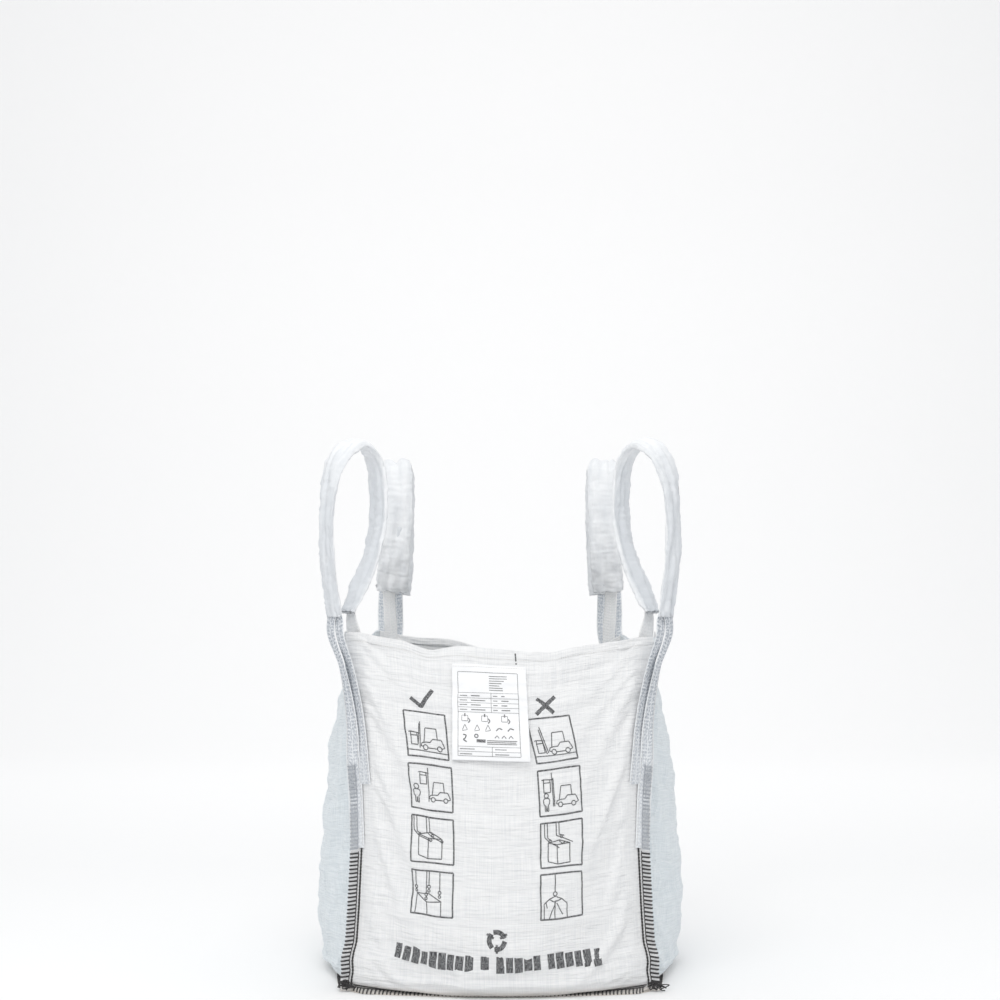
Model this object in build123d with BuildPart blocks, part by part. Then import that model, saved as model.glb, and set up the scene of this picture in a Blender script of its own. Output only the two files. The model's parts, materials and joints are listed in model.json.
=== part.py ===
from build123d import *

import math
import os
from collections import namedtuple

# Bulk bag: four woven walls sewn to a base with outward seams, four sleeved lifting loops
# at the corners of the open top, and an information label hung from the front rim.
# Frame: millimetres, +Z up, origin on the floor under the middle of the base, and the
# labelled front wall faces -Y.

# ---------------------------------------------------------------- driving dimensions

ply = 2.0                # one layer of seam allowance
ply_gap = 0.4            # air between two layers sewn together
base_ply = 2.0           # base cloth
rim_height = 1072.0      # rim at the four corners
rim_sag = 55.0           # how far the rim hangs down at the middle of a wall
hem_depth = 27.0         # stitch line of the folded rim, below the rim
allowance = 34.0         # bottom seam allowance, lying on the floor round the base
thread = 1.0             # thickness of a run of thread
thread_gap = 0.4         # a run of thread stands this far off the cloth

webbing_width = 44.0
webbing_thickness = 3.0
webbing_split = 3.0      # space between the two bands of one loop
wall_strap_inset = 30.0  # middle of the strap beside a corner seam, in from the corner
seam_strap_reach = 22.5  # middle of the strap over a corner seam, out from the corner
strap_clear = 1.5        # strap to what it lies on
seam_strap_bow = 8.0     # how far the strap over a corner seam bows out on its way up
wall_strap_end = 612.0   # lower end of the strap beside a corner seam
seam_strap_end = 420.0   # lower end of the strap over a corner seam

hinge_height = rim_height + 13.0   # the loops fold over along this line
fold_clear = 8.0                   # the sewn straps stop this far under the fold line
loop_spread = 160.0                # between the two legs of a loop
front_loop_rise = 570.0            # fold line to the crown of a loop
rear_loop_rise = 595.0
loop_belly = 265.0                 # above this height the inner leg is upright
sleeve_width = 104.0
sleeve_thickness = 9.0
sleeve_wall = 2.0

label_left = -142.0
label_right = 88.0
label_top = 985.0
label_bottom = 699.0
label_clear = 1.5
label_thickness = 1.5

# Horizontal sections of the filled-out fabric body. front and rear are half the straight
# distance between the two corners of that wall, bulge is how far the middle of a wall
# stands out of that line, depth is the level thickness of the cloth (more where the wall
# runs nearly flat over the floor), and fin is the width of the corner seam allowance.
Level = namedtuple("Level", "z front rear bulge depth fin")
levels = [
    Level(4.2, 440.0, 440.0, 40.0, 8.0, 36.0),
    Level(20.0, 439.0, 439.0, 100.0, 5.0, 36.0),
    Level(50.0, 438.0, 438.0, 143.0, 3.0, 36.0),
    Level(140.0, 430.0, 430.0, 170.0, 2.0, 36.0),
    Level(245.0, 424.0, 424.0, 182.0, 2.0, 36.0),
    Level(435.0, 417.0, 417.0, 178.0, 2.0, 36.0),
    Level(580.0, 420.0, 419.0, 166.0, 2.0, 36.0),
    Level(770.0, 435.0, 428.0, 133.0, 2.0, 36.0),
    Level(880.0, 445.0, 431.0, 100.0, 2.0, 4.0),
    Level(980.0, 456.0, 433.0, 65.0, 2.0, 4.0),
    Level(rim_height, 465.0, 434.0, 40.0, 2.0, 4.0),
]
overlock_top = 770.0     # the corner allowance has its full width up to here
corner_names = {(-1, -1): "front_left", (1, -1): "front_right", (-1, 1): "rear_left", (1, 1): "rear_right"}

os.makedirs("parts", exist_ok=True)


def write(builder, name):
    """Labels one finished piece and writes its file."""
    builder.part.label = name
    export_step(builder.part, f"parts/{name}.step")


def section(plane, outline, *values):
    """Face on a plane, inside the closed outline that a function draws."""
    with BuildSketch(plane) as face:
        with BuildLine():
            outline(*values)
        make_face()
    return face.sketch


def sections(heights, outline, *values):
    """One level face for each height of the body in a list."""
    return [section(Plane.XY.offset(a.z), outline, a, *values) for a in heights]


# ---------------------------------------------------------------- the body's geometry


def level_at(z):
    """The body's section at any height, on the straight line between two levels."""
    for low, high in zip(levels, levels[1:]):
        if low.z <= z <= high.z:
            share = (z - low.z) / (high.z - low.z)
            return Level(*(a + (b - a) * share for a, b in zip(low, high)))
    raise ValueError("height outside the body")


def levels_between(bottom, top):
    """Sections from one height to another, with every level between them."""
    return [level_at(bottom)] + [a for a in levels if bottom < a.z < top] + [level_at(top)]


def half_width(level, end):
    """Half the straight width of the front (end -1) or rear (end 1) wall."""
    return level.front if end < 0 else level.rear


def face_arc(level, side, end):
    """Outer arc of the front or rear wall, from the corner on one side to the other."""
    half = half_width(level, end)
    seam = half + ply_gap / 2 + ply
    return (side * half, end * seam), (0.0, end * (half + level.bulge)), (-side * half, end * seam)


def side_arc(level, side, end):
    """Outer arc of a side wall, from the corner at one end to the corner at the other."""
    here = half_width(level, end)
    there = half_width(level, -end)
    inset = ply_gap / 2 + ply
    middle = (side * ((here + there) / 2 + level.bulge), end * (here - there) / 2)
    return (side * here, end * (here - inset)), middle, (side * there, -end * (there - inset))


def arc_station(points, distance):
    """Point on a three-point arc at a distance from its start, with the outward normal there."""
    (ax, ay), (bx, by), (cx, cy) = points
    twice = 2 * (ax * (by - cy) + bx * (cy - ay) + cx * (ay - by))
    a2, b2, c2 = ax**2 + ay**2, bx**2 + by**2, cx**2 + cy**2
    centre_x = (a2 * (by - cy) + b2 * (cy - ay) + c2 * (ay - by)) / twice
    centre_y = (a2 * (cx - bx) + b2 * (ax - cx) + c2 * (bx - ax)) / twice
    radius = math.hypot(ax - centre_x, ay - centre_y)
    start = math.atan2(ay - centre_y, ax - centre_x)
    middle = math.atan2(by - centre_y, bx - centre_x)
    turn = math.remainder(middle - start, 2 * math.pi)
    angle = start + math.copysign(distance / radius, turn)
    normal = (math.cos(angle), math.sin(angle))
    return (centre_x + radius * normal[0], centre_y + radius * normal[1]), normal


# ---------------------------------------------------------------- fabric body


def face_outline(level, end):
    """Cross-section of the front or rear wall with its ply of both corner fins."""
    half = half_width(level, end)
    inner = end * (half + ply_gap / 2)
    outer = end * (half + ply_gap / 2 + ply)
    tip = half + level.fin
    Polyline((-half + 1, inner), (-tip, inner), (-tip, outer), (-half, outer))
    ThreePointArc(*face_arc(level, -1, end))
    Polyline((half, outer), (tip, outer), (tip, inner), (half - 1, inner))
    ThreePointArc((half - 1, inner), (0, end * (half + level.bulge - level.depth)), (-half + 1, inner))


def side_outline(level, side):
    """Cross-section of a side wall with its ply of the front and the rear corner fin."""
    start, middle, finish = side_arc(level, side, -1)
    front_inner = -level.front + ply_gap / 2
    rear_inner = level.rear - ply_gap / 2
    # The cloth doubles back sharply here, so its inner corner lies further in.
    corner = level.depth * (1 + level.bulge / 120)
    front_root = (side * (level.front - corner), front_inner)
    rear_root = (side * (level.rear - corner), rear_inner)
    front_tip = side * (level.front + level.fin)
    rear_tip = side * (level.rear + level.fin)
    Polyline(front_root, (front_tip, front_inner), (front_tip, start[1]), start)
    ThreePointArc(start, middle, finish)
    Polyline(finish, (rear_tip, finish[1]), (rear_tip, rear_inner), rear_root)
    ThreePointArc(rear_root, (middle[0] - side * level.depth, middle[1]), front_root)


def above_rim(low, high):
    """Outline of what lies over the hanging rim of a wall, seen square to that wall."""
    ThreePointArc((low, rim_height), ((low + high) / 2, rim_height - rim_sag), (high, rim_height))
    Polyline((high, rim_height), (high, rim_height + 30), (low, rim_height + 30), (low, rim_height))


def foot_line(margin):
    """Where the foot of a wall runs: how far it reaches each way, and how far out it is there and midway."""
    half = levels[0].front
    bulge = levels[0].bulge
    reach = half - margin
    radius = (half**2 + bulge**2) / (2 * bulge)
    apex = half + bulge
    return reach, apex - radius + math.sqrt(radius**2 - reach**2), apex


def face_strip(end, near, far, margin):
    """Strip along the foot of the front or rear wall, near and far from its seam."""
    reach, corner, apex = foot_line(margin)
    ThreePointArc((-reach, end * (corner + near)), (0, end * (apex + near)), (reach, end * (corner + near)))
    Line((reach, end * (corner + near)), (reach, end * (corner + far)))
    ThreePointArc((reach, end * (corner + far)), (0, end * (apex + far)), (-reach, end * (corner + far)))
    Line((-reach, end * (corner + far)), (-reach, end * (corner + near)))


def side_strip(side, near, far, margin):
    """Strip along the foot of a side wall, near and far from its seam."""
    reach, corner, apex = foot_line(margin)
    ThreePointArc((side * (corner + near), -reach), (side * (apex + near), 0), (side * (corner + near), reach))
    Line((side * (corner + near), reach), (side * (corner + far), reach))
    ThreePointArc((side * (corner + far), reach), (side * (apex + far), 0), (side * (corner + far), -reach))
    Line((side * (corner + far), -reach), (side * (corner + near), -reach))


def base_outline():
    """The base cloth with its seam allowance all round and square corners."""
    half, _, apex = foot_line(0.0)
    rim = half + allowance
    bow = apex + allowance
    ThreePointArc((-half, -rim), (0, -bow), (half, -rim))
    Polyline((half, -rim), (rim, -rim), (rim, -half))
    ThreePointArc((rim, -half), (bow, 0), (rim, half))
    Polyline((rim, half), (rim, rim), (half, rim))
    ThreePointArc((half, rim), (0, bow), (-half, rim))
    Polyline((-half, rim), (-rim, rim), (-rim, half))
    ThreePointArc((-rim, half), (-bow, 0), (-rim, -half))
    Polyline((-rim, -half), (-rim, -rim), (-half, -rim))


lip_bottom = base_ply + 0.2
lip_top = levels[0].z
lip_plane = Plane.XY.offset(lip_bottom)

for end, name in ((-1, "front_panel"), (1, "rear_panel")):
    rim_half = half_width(levels[-1], end)
    with BuildPart() as face_wall:
        loft(sections(levels, face_outline, end), ruled=True)
        extrude(section(Plane.XZ, above_rim, -rim_half, rim_half), amount=700, both=True, mode=Mode.SUBTRACT)
        extrude(section(lip_plane, face_strip, end, 0.3, allowance, 0.0), amount=lip_top - lip_bottom)
    write(face_wall, name)

for side, name in ((-1, "left_panel"), (1, "right_panel")):
    with BuildPart() as side_wall:
        loft(sections(levels, side_outline, side), ruled=True)
        over = section(Plane.YZ, above_rim, -levels[-1].front, levels[-1].rear)
        extrude(over, amount=700, both=True, mode=Mode.SUBTRACT)
        extrude(section(lip_plane, side_strip, side, -4.0, allowance, 0.5), amount=lip_top - lip_bottom)
    write(side_wall, name)

with BuildPart() as base_panel:
    extrude(section(Plane.XY, base_outline), amount=base_ply)
write(base_panel, "base_panel")

# ---------------------------------------------------------------- runs of thread

chain_near = 9.0         # chain stitch of a bottom seam, outside the foot of the wall
chain_width = 3.0
overlock_depth = 20.0    # how far an overlock reaches in over the allowance
thread_low = lip_top + thread_gap
thread_high = thread_low + thread


thread_plane = Plane.XY.offset(thread_low)
edge = allowance + thread_gap
strip_margin = 8.0       # bottom threads stop this far short of a corner

for strip, direction, name in (
    (face_strip, -1, "front"),
    (face_strip, 1, "rear"),
    (side_strip, -1, "left"),
    (side_strip, 1, "right"),
):
    with BuildPart() as bottom_chain:
        line = section(thread_plane, strip, direction, chain_near, chain_near + chain_width, strip_margin)
        extrude(line, amount=thread)
    write(bottom_chain, f"base_chain_{name}")
    with BuildPart() as bottom_overlock:
        over = section(thread_plane, strip, direction, allowance - overlock_depth, edge + thread, strip_margin)
        extrude(over, amount=thread)
        lip = section(Plane.XY, strip, direction, edge, edge + thread, strip_margin)
        extrude(lip, amount=thread_low)
    write(bottom_overlock, f"base_overlock_{name}")


def overlock_outline(level, side, end):
    """Thread round the tip of a corner fin: both faces and the cut edge."""
    half = half_width(level, end)
    plies = ply_gap / 2 + ply + thread_gap
    root = side * (half + level.fin - overlock_depth)
    inside = side * (half + level.fin + thread_gap)
    outside = side * (half + level.fin + thread_gap + thread)
    front = end * (half - plies)
    back = end * (half + plies)
    Polyline(
        (root, front), (inside, front), (inside, back), (root, back),
        (root, back + end * thread), (outside, back + end * thread),
        (outside, front - end * thread), (root, front - end * thread),
        close=True,
    )


def chain_outline(level, side, end):
    """Chain stitch on the outward face of a corner fin, beside the corner."""
    half = half_width(level, end)
    face = end * (half + ply_gap / 2 + ply + thread_gap)
    near = side * (half + 1.5)
    far = side * (half + 1.5 + chain_width)
    Polyline((near, face), (far, face), (far, face + end * thread), (near, face + end * thread), close=True)


seam_foot = thread_high + 2.0

seam_levels = levels_between(seam_foot, overlock_top)

for (side, end), name in corner_names.items():
    with BuildPart() as corner_overlock:
        loft(sections(seam_levels, overlock_outline, side, end), ruled=True)
    write(corner_overlock, f"corner_overlock_{name}")
    with BuildPart() as corner_chain:
        loft(sections(seam_levels, chain_outline, side, end), ruled=True)
    write(corner_chain, f"corner_chain_{name}")


def face_skin(level, end, near, far):
    """Thin layer just outside the front or rear wall."""
    start, middle, finish = face_arc(level, -1, end)
    ThreePointArc(*((x, y + end * near) for x, y in (start, middle, finish)))
    Line((finish[0], finish[1] + end * near), (finish[0], finish[1] + end * far))
    ThreePointArc(*((x, y + end * far) for x, y in (finish, middle, start)))
    Line((start[0], start[1] + end * far), (start[0], start[1] + end * near))


def side_skin(level, side, near, far):
    """Thin layer just outside a side wall."""
    start, middle, finish = side_arc(level, side, -1)
    ThreePointArc(*((x + side * near, y) for x, y in (start, middle, finish)))
    Line((finish[0] + side * near, finish[1]), (finish[0] + side * far, finish[1]))
    ThreePointArc(*((x + side * far, y) for x, y in (finish, middle, start)))
    Line((start[0] + side * far, start[1]), (start[0] + side * near, start[1]))


def hem_band(low, high):
    """Outline of a thread's width under the hanging rim, seen square to the wall."""
    top = rim_height - hem_depth
    foot = top - chain_width
    middle = (low + high) / 2
    ThreePointArc((low, top), (middle, top - rim_sag), (high, top))
    Line((high, top), (high, foot))
    ThreePointArc((high, foot), (middle, foot - rim_sag), (low, foot))
    Line((low, foot), (low, top))


hem_levels = levels_between(900.0, rim_height)
hem_margin = 16.0
front_reach = levels[-1].front - hem_margin
rear_reach = levels[-1].rear - hem_margin

for skin, direction, name, plane, low, high in (
    (face_skin, -1, "front", Plane.XZ, -front_reach, front_reach),
    (face_skin, 1, "rear", Plane.XZ, -rear_reach, rear_reach),
    (side_skin, -1, "left", Plane.YZ, -front_reach, rear_reach),
    (side_skin, 1, "right", Plane.YZ, -front_reach, rear_reach),
):
    with BuildPart() as hem_stitch:
        loft(sections(hem_levels, skin, direction, thread_gap, thread_gap + thread), ruled=True)
        extrude(section(plane, hem_band, low, high), amount=700, both=True, mode=Mode.INTERSECT)
    write(hem_stitch, f"hem_stitch_{name}")

# ---------------------------------------------------------------- lifting loops

# Each loop stands in a vertical plane through its fold point. inward is the level
# direction in which the second leg stands off, and lean tips the loop sideways.
Corner = namedtuple("Corner", "tip inward lean rise sleeve_start")
front_heading = math.radians(40)
tip_reach = 40.0         # fold point of a front loop, outside the corner
rear_tip = (396.0, 466.0)
rear_lean = 0.09


def corner_loop(side, end):
    """Fold point and attitude of the loop at one corner."""
    if end < 0:
        inward = (-side * math.cos(front_heading), math.sin(front_heading))
        half = levels[-1].front
        tip = (side * half - inward[0] * tip_reach, -half - inward[1] * tip_reach)
        return Corner(tip, inward, 0.0, front_loop_rise, 52.0)
    return Corner((side * rear_tip[0], rear_tip[1]), (0.0, -1.0), -side * rear_lean, rear_loop_rise, 105.0)


def loop_plane(loop):
    """Plane of a loop: its x runs inward and its y runs up."""
    inward = Vector(loop.inward[0], loop.inward[1], 0)
    up = Vector(loop.lean, 0, 1)
    return Plane(origin=(*loop.tip, hinge_height), x_dir=inward, z_dir=inward.cross(up))


def loop_line(rise, start):
    """Centre line of one loop of webbing: up the outer leg, over and down the inner leg."""
    crown = loop_spread / 2 - 1
    knee = (55.0, 60.0)
    if start > knee[1]:
        share = (start - knee[1]) / (loop_belly - knee[1])
        foot = [(knee[0] + (loop_spread - knee[0]) * share, start)]
        radii = [crown, crown, 150]
    elif start > 0:
        foot = [knee]
        radii = [crown, crown, 150]
    else:
        foot = [knee, (5, 0)]
        radii = [crown, crown, 150, 20]
    points = [(0, start), (0, rise), (loop_spread, rise), (loop_spread, loop_belly)] + foot
    FilletPolyline(*points, radius=radii)


def loop_band(plane, rise, start, thickness):
    """Edge view of one loop: a band of even thickness along the loop's centre line."""
    with BuildSketch(plane) as band:
        with BuildLine():
            loop_line(rise, start)
        trace(line_width=thickness)
    return band.sketch


for (side, end), name in corner_names.items():
    loop = corner_loop(side, end)
    plane = loop_plane(loop)
    with BuildPart() as webbing:
        for offset in (webbing_split / 2, -webbing_split / 2 - webbing_width):
            band = loop_band(plane.offset(offset), loop.rise, 0, webbing_thickness)
            extrude(band, amount=webbing_width)
    write(webbing, f"webbing_{name}")
    with BuildPart() as sleeve:
        outside = loop_band(plane.offset(-sleeve_width / 2), loop.rise, loop.sleeve_start, sleeve_thickness)
        extrude(outside, amount=sleeve_width)
        hollow_plane = plane.offset(-sleeve_width / 2 + sleeve_wall)
        hollow = loop_band(hollow_plane, loop.rise, loop.sleeve_start, sleeve_thickness - 2 * sleeve_wall)
        extrude(hollow, amount=sleeve_width - 2 * sleeve_wall, mode=Mode.SUBTRACT)
    write(sleeve, f"sleeve_{name}")


def strap_plane(z, centre, normal, lift):
    """Level plane across a strap, turned so that the strap's flat side faces the normal."""
    origin = (centre[0] + normal[0] * lift, centre[1] + normal[1] * lift, z)
    return Plane(origin=origin, x_dir=(-normal[1], normal[0], 0), z_dir=(0, 0, 1))


def beside_seam(level, side, end):
    """Where the strap on the front or rear wall lies at one level, and the way it faces."""
    return arc_station(face_arc(level, side, end), wall_strap_inset)


def over_seam(level, side, end):
    """Where the strap over a corner's allowance and its thread lies, and the way it faces."""
    half = half_width(level, end)
    outside = ply_gap / 2 + ply + thread_gap + thread
    return (side * (half + seam_strap_reach), end * (half + outside)), (0.0, end)


def strap_planes(loop, side, end, place, bottom, band, lift):
    """Planes up a strap: along what it is sewn to, clear of it under the rim, and at the fold line."""
    leaves = overlock_top if place is over_seam else (880.0 if end < 0 else 980.0)
    planes = []
    for level in levels_between(bottom, leaves):
        centre, normal = place(level, side, end)
        planes.append(strap_plane(level.z, centre, normal, lift))
    across = Vector(-loop.inward[1], loop.inward[0], 0)
    top = Vector(*loop.tip, hinge_height - fold_clear) + across * band
    last = planes[-1]
    bow = seam_strap_bow if place is over_seam else 0.0
    step = last.origin + (top - last.origin) * 0.55 + Vector(0, end, 0) * bow
    turn = last.x_dir * 0.45 + Vector(loop.inward[1], -loop.inward[0], 0) * 0.55
    planes.append(Plane(origin=step, x_dir=turn, z_dir=(0, 0, 1)))
    planes.append(Plane(origin=top, x_dir=(loop.inward[1], -loop.inward[0], 0), z_dir=(0, 0, 1)))
    return planes


def strap_face(plane, width, offset, thickness):
    """Cut through a strap, or through a run of thread along it."""
    with BuildSketch(plane) as cut:
        with Locations((offset, 0)):
            Rectangle(width, thickness)
    return cut.sketch


stitch_width = 2.0
stitch_inset = webbing_width / 2 - 8.0

for (side, end), name in corner_names.items():
    loop = corner_loop(side, end)
    # Of the loop's two bands, the one nearer the side wall is sewn over the corner seam.
    band = math.copysign((webbing_split + webbing_width) / 2, -end * loop.inward[0] + side * abs(loop.inward[1]))
    runs = ((beside_seam, wall_strap_end, -band), (over_seam, seam_strap_end, band))
    with BuildPart() as strap:
        for place, bottom, offset in runs:
            lift = strap_clear + webbing_thickness / 2
            planes = strap_planes(loop, side, end, place, bottom, offset, lift)
            loft([strap_face(plane, webbing_width, 0, webbing_thickness) for plane in planes], ruled=True)
    write(strap, f"strap_{name}")
    with BuildPart() as strap_stitch:
        for place, bottom, offset in runs:
            lift = strap_clear + webbing_thickness + thread_gap + thread / 2
            planes = strap_planes(loop, side, end, place, bottom + 10, offset, lift)[:-2]
            for inset in (-stitch_inset, stitch_inset):
                loft([strap_face(plane, stitch_width, inset, thread) for plane in planes], ruled=True)
    write(strap_stitch, f"strap_stitch_{name}")

# ---------------------------------------------------------------- label

label_levels = levels_between(label_bottom - 20, label_top + 20)


def label_window(left, right, bottom, top):
    """Outline of the label, or of a run of thread on it, seen from the front."""
    Polyline((left, bottom), (right, bottom), (right, top), (left, top), close=True)


with BuildPart() as label:
    loft(sections(label_levels, face_skin, -1, label_clear, label_clear + label_thickness), ruled=True)
    window = section(Plane.XZ, label_window, label_left, label_right, label_bottom, label_top)
    extrude(window, amount=700, both=True, mode=Mode.INTERSECT)
write(label, "label")

with BuildPart() as label_stitch:
    label_face = label_clear + label_thickness + thread_gap
    loft(sections(label_levels, face_skin, -1, label_face, label_face + thread), ruled=True)
    window = section(Plane.XZ, label_window, label_left + 4, label_right - 4, label_top - 9, label_top - 6)
    extrude(window, amount=700, both=True, mode=Mode.INTERSECT)
write(label_stitch, "label_stitch")
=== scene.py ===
import json
import math

import bpy
import numpy as np
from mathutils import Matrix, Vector


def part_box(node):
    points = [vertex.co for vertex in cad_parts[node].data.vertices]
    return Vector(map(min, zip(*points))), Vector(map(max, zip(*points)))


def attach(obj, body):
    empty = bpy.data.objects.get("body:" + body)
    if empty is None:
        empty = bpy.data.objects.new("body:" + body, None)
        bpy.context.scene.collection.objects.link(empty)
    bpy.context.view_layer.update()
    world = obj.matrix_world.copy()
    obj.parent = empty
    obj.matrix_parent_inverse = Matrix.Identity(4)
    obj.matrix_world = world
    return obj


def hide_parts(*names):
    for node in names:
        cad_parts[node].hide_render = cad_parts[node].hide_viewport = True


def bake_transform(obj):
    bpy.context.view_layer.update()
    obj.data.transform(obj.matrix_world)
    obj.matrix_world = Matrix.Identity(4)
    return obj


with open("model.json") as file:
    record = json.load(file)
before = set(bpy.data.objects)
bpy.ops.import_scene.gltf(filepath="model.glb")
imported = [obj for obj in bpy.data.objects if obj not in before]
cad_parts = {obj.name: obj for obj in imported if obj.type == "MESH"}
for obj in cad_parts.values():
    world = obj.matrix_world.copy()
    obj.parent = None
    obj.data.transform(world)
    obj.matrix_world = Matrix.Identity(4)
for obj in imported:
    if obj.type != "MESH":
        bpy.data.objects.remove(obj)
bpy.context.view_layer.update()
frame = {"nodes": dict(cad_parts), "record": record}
scene = bpy.context.scene
random = np.random.default_rng(11)

# ---------------------------------------------------------------- sizes, in metres

tape = 0.0026            # one tape of the woven cloth
cloth_ply = 0.0011       # visible thickness of one ply
cell = 0.0066            # spacing of a wall's mesh up its height
wall_columns = 141       # points of a wall's mesh from corner to corner
slack = 0.018            # the walls are cut this much larger than the shape they fill
fold_reach = 0.016       # the deepest fold that the cloth settles into
rim_turn = 0.027         # depth of the folded rim
fin_width = 0.034        # seam allowance standing out at a corner
fin_fades = (0.70, 0.86)  # the allowance narrows to nothing between these heights
foot_height = 0.0046     # bottom seam in the middle of a wall, where the cloth lies on the floor
corner_rise = 0.0145     # how much higher the seam is held at the corners
foot_bow = 0.042         # how far the seam bows out in the middle of a wall
lip = 0.036              # seam allowance below it
corner_fold = 0.402      # pressed fold beside each corner, off the middle of the wall
base_round = 0.032       # how far the corners of the base are rounded off
floor_gap = 0.0045       # a settled wall is kept this far above the floor
overlock_pitch = 0.0118  # one overlock stitch: out and back over the edge
chain_pitch = 0.0095
band_pitch = 0.0078      # stitches that hold the bands and the label
hem_pitch = 0.0072
ply_face = 0.0024        # seam thread lies this far off the middle of an allowance
band_width = 0.044       # one band of webbing
band_thickness = 0.0026
sleeve_flat = 0.104      # width of a loop's sleeve laid flat
band_low_a = 0.420       # lower end of the band over the corner seam
band_low_b = 0.612       # lower end of the band beside it

CORNERS = {"front_left": (-1, -1), "front_right": (1, -1), "rear_left": (-1, 1), "rear_right": (1, 1)}
WALLS = {                # side and end of each wall's two corners, and its outward direction
    "front": ((-1, -1), (1, -1), (0, -1)),
    "right": ((1, -1), (1, 1), (1, 0)),
    "rear": ((1, 1), (-1, 1), (0, 1)),
    "left": ((-1, 1), (-1, -1), (-1, 0)),
}

# ---------------------------------------------------------------- the frame's own sizes


def node_points(name):
    """The CAD node's vertices, in the row frame."""
    o = frame["nodes"][name]
    points = np.empty(len(o.data.vertices) * 3)
    o.data.vertices.foreach_get("co", points)
    matrix = np.array(o.matrix_world)
    return points.reshape(-1, 3) @ matrix[:3, :3].T + matrix[:3, 3]


def probe(name, start, direction):
    """Where a ray meets a CAD node, in the row frame."""
    o = frame["nodes"][name]
    inverse = o.matrix_world.inverted()
    hit, place, *_ = o.ray_cast(inverse @ Vector(start), inverse.to_3x3() @ Vector(direction))
    return np.array(o.matrix_world @ place) if hit else None


def corner_halves(name, sign):
    """Heights of the CAD wall's sections and its half width at each, read at its seam allowance."""
    points = node_points(name)
    points[:, 1] *= sign
    found = []
    for z in np.unique(np.round(points[:, 2], 4)):
        level = points[np.abs(points[:, 2] - z) < 2e-4]
        tip = level[level[:, 0] < level[:, 0].min() + 2e-4]
        if tip[0, 0] < -0.42 and z > 0.004:
            found.append((z, tip[:, 1].max() - 0.0022))
    return np.array(found)


def middle_bulge(name, sign, heights):
    """How far the middle of the CAD wall stands out at each height."""
    found = []
    for z in heights:
        place = probe(name, (0, sign * 2, z), (0, -sign, 0))
        found.append(np.nan if place is None else place[1] * sign)
    return np.array(found)


front_half = corner_halves("front_panel", -1)
rear_half = corner_halves("rear_panel", 1)
rim_height = float(front_half[-1, 0])
probe_heights = 1e-4 + np.array(
    [0.008, 0.02, 0.035, 0.05, 0.09, 0.14, 0.245, 0.34, 0.435, 0.58, 0.68, 0.77, 0.88, 0.98]
)
bulges = middle_bulge("front_panel", -1, probe_heights) - np.interp(probe_heights, *front_half.T)
bulges = np.append(bulges, bulges[-1] + (bulges[-1] - bulges[-2]) * 0.85)
bulge_heights = np.append(probe_heights, rim_height)


def smooth_line(at, heights, values):
    """Soft curve through values given at heights."""
    fine = np.linspace(heights[0], heights[-1], 400)
    line = np.interp(fine, heights, values)
    spread = np.exp(-np.linspace(-2, 2, 21) ** 2)
    padded = np.pad(line, 10, mode="reflect", reflect_type="odd")
    return np.interp(at, fine, np.convolve(padded, spread / spread.sum(), "valid"))


def half_at(z, end):
    """Half the straight width of the wall at the front (-1) or rear (1)."""
    return smooth_line(z, *(front_half if end < 0 else rear_half).T)


# ---------------------------------------------------------------- mesh helpers


def unit(v):
    """Vectors scaled to length one."""
    return v / np.maximum(np.linalg.norm(v, axis=-1, keepdims=True), 1e-12)


def hump(value, centre, width):
    """Smooth bump of height one."""
    return np.exp(-(((value - centre) / width) ** 2))


def ridge(value, centre, width):
    """Bump of height one with a sharp crest, as of a pressed fold."""
    return np.exp(-np.abs(value - centre) / width)


def ramp(value, low, high):
    """From 0 at low to 1 at high, and flat beyond."""
    return np.clip((value - low) / (high - low), 0, 1)


def eased(share):
    """A share from 0 to 1, with a soft start and a soft end."""
    return share * share * (3 - 2 * share)


def lengths(path):
    """Distance along a polyline at each of its points."""
    return np.append(0, np.cumsum(np.linalg.norm(np.diff(path, axis=0), axis=1)))


def at_length(s, along, path):
    """Point of a polyline at a distance along it."""
    return np.array([np.interp(s, along, path[:, k]) for k in range(3)])


def pick(grid, i, j):
    """Values of a grid between its points, at row i and column j."""
    rows, columns = grid.shape[:2]
    i, j = np.clip(i, 0, rows - 1.001), np.clip(j, 0, columns - 1.001)
    a, b = i.astype(int), j.astype(int)
    s, r = (i - a)[:, None], (j - b)[:, None]
    near = grid[a, b] * (1 - s) + grid[a + 1, b] * s
    far = grid[a, b + 1] * (1 - s) + grid[a + 1, b + 1] * s
    return near * (1 - r) + far * r


def grid_faces(rows, columns, wrap=False, first=0):
    """Quads over a structured grid of points, row by row."""
    i, j = np.meshgrid(np.arange(rows - 1), np.arange(columns if wrap else columns - 1), indexing="ij")
    k = (j + 1) % columns
    quads = np.stack([i * columns + j, i * columns + k, (i + 1) * columns + k, (i + 1) * columns + j], -1)
    return quads.reshape(-1, 4) + first


def make_piece(name, points, faces, material=None, uv=None):
    """Smooth mesh object from arrays; faces are quads, with the last corner repeated for a triangle."""
    mesh = bpy.data.meshes.new(name)
    points = np.asarray(points, float).reshape(-1, 3)
    mesh.from_pydata(points.tolist(), [], [list(dict.fromkeys(f)) for f in np.asarray(faces).tolist()])
    if uv is not None:
        layer = mesh.uv_layers.new(name="UVMap")
        index = np.empty(len(mesh.loops), np.int32)
        mesh.loops.foreach_get("vertex_index", index)
        layer.data.foreach_set("uv", np.asarray(uv, np.float32).reshape(-1, 2)[index].ravel())
    mesh.polygons.foreach_set("use_smooth", np.full(len(mesh.polygons), True))
    if material:
        mesh.materials.append(material)
    mesh.validate()
    mesh.update()
    o = bpy.data.objects.new(name, mesh)
    scene.collection.objects.link(o)
    return o


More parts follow.
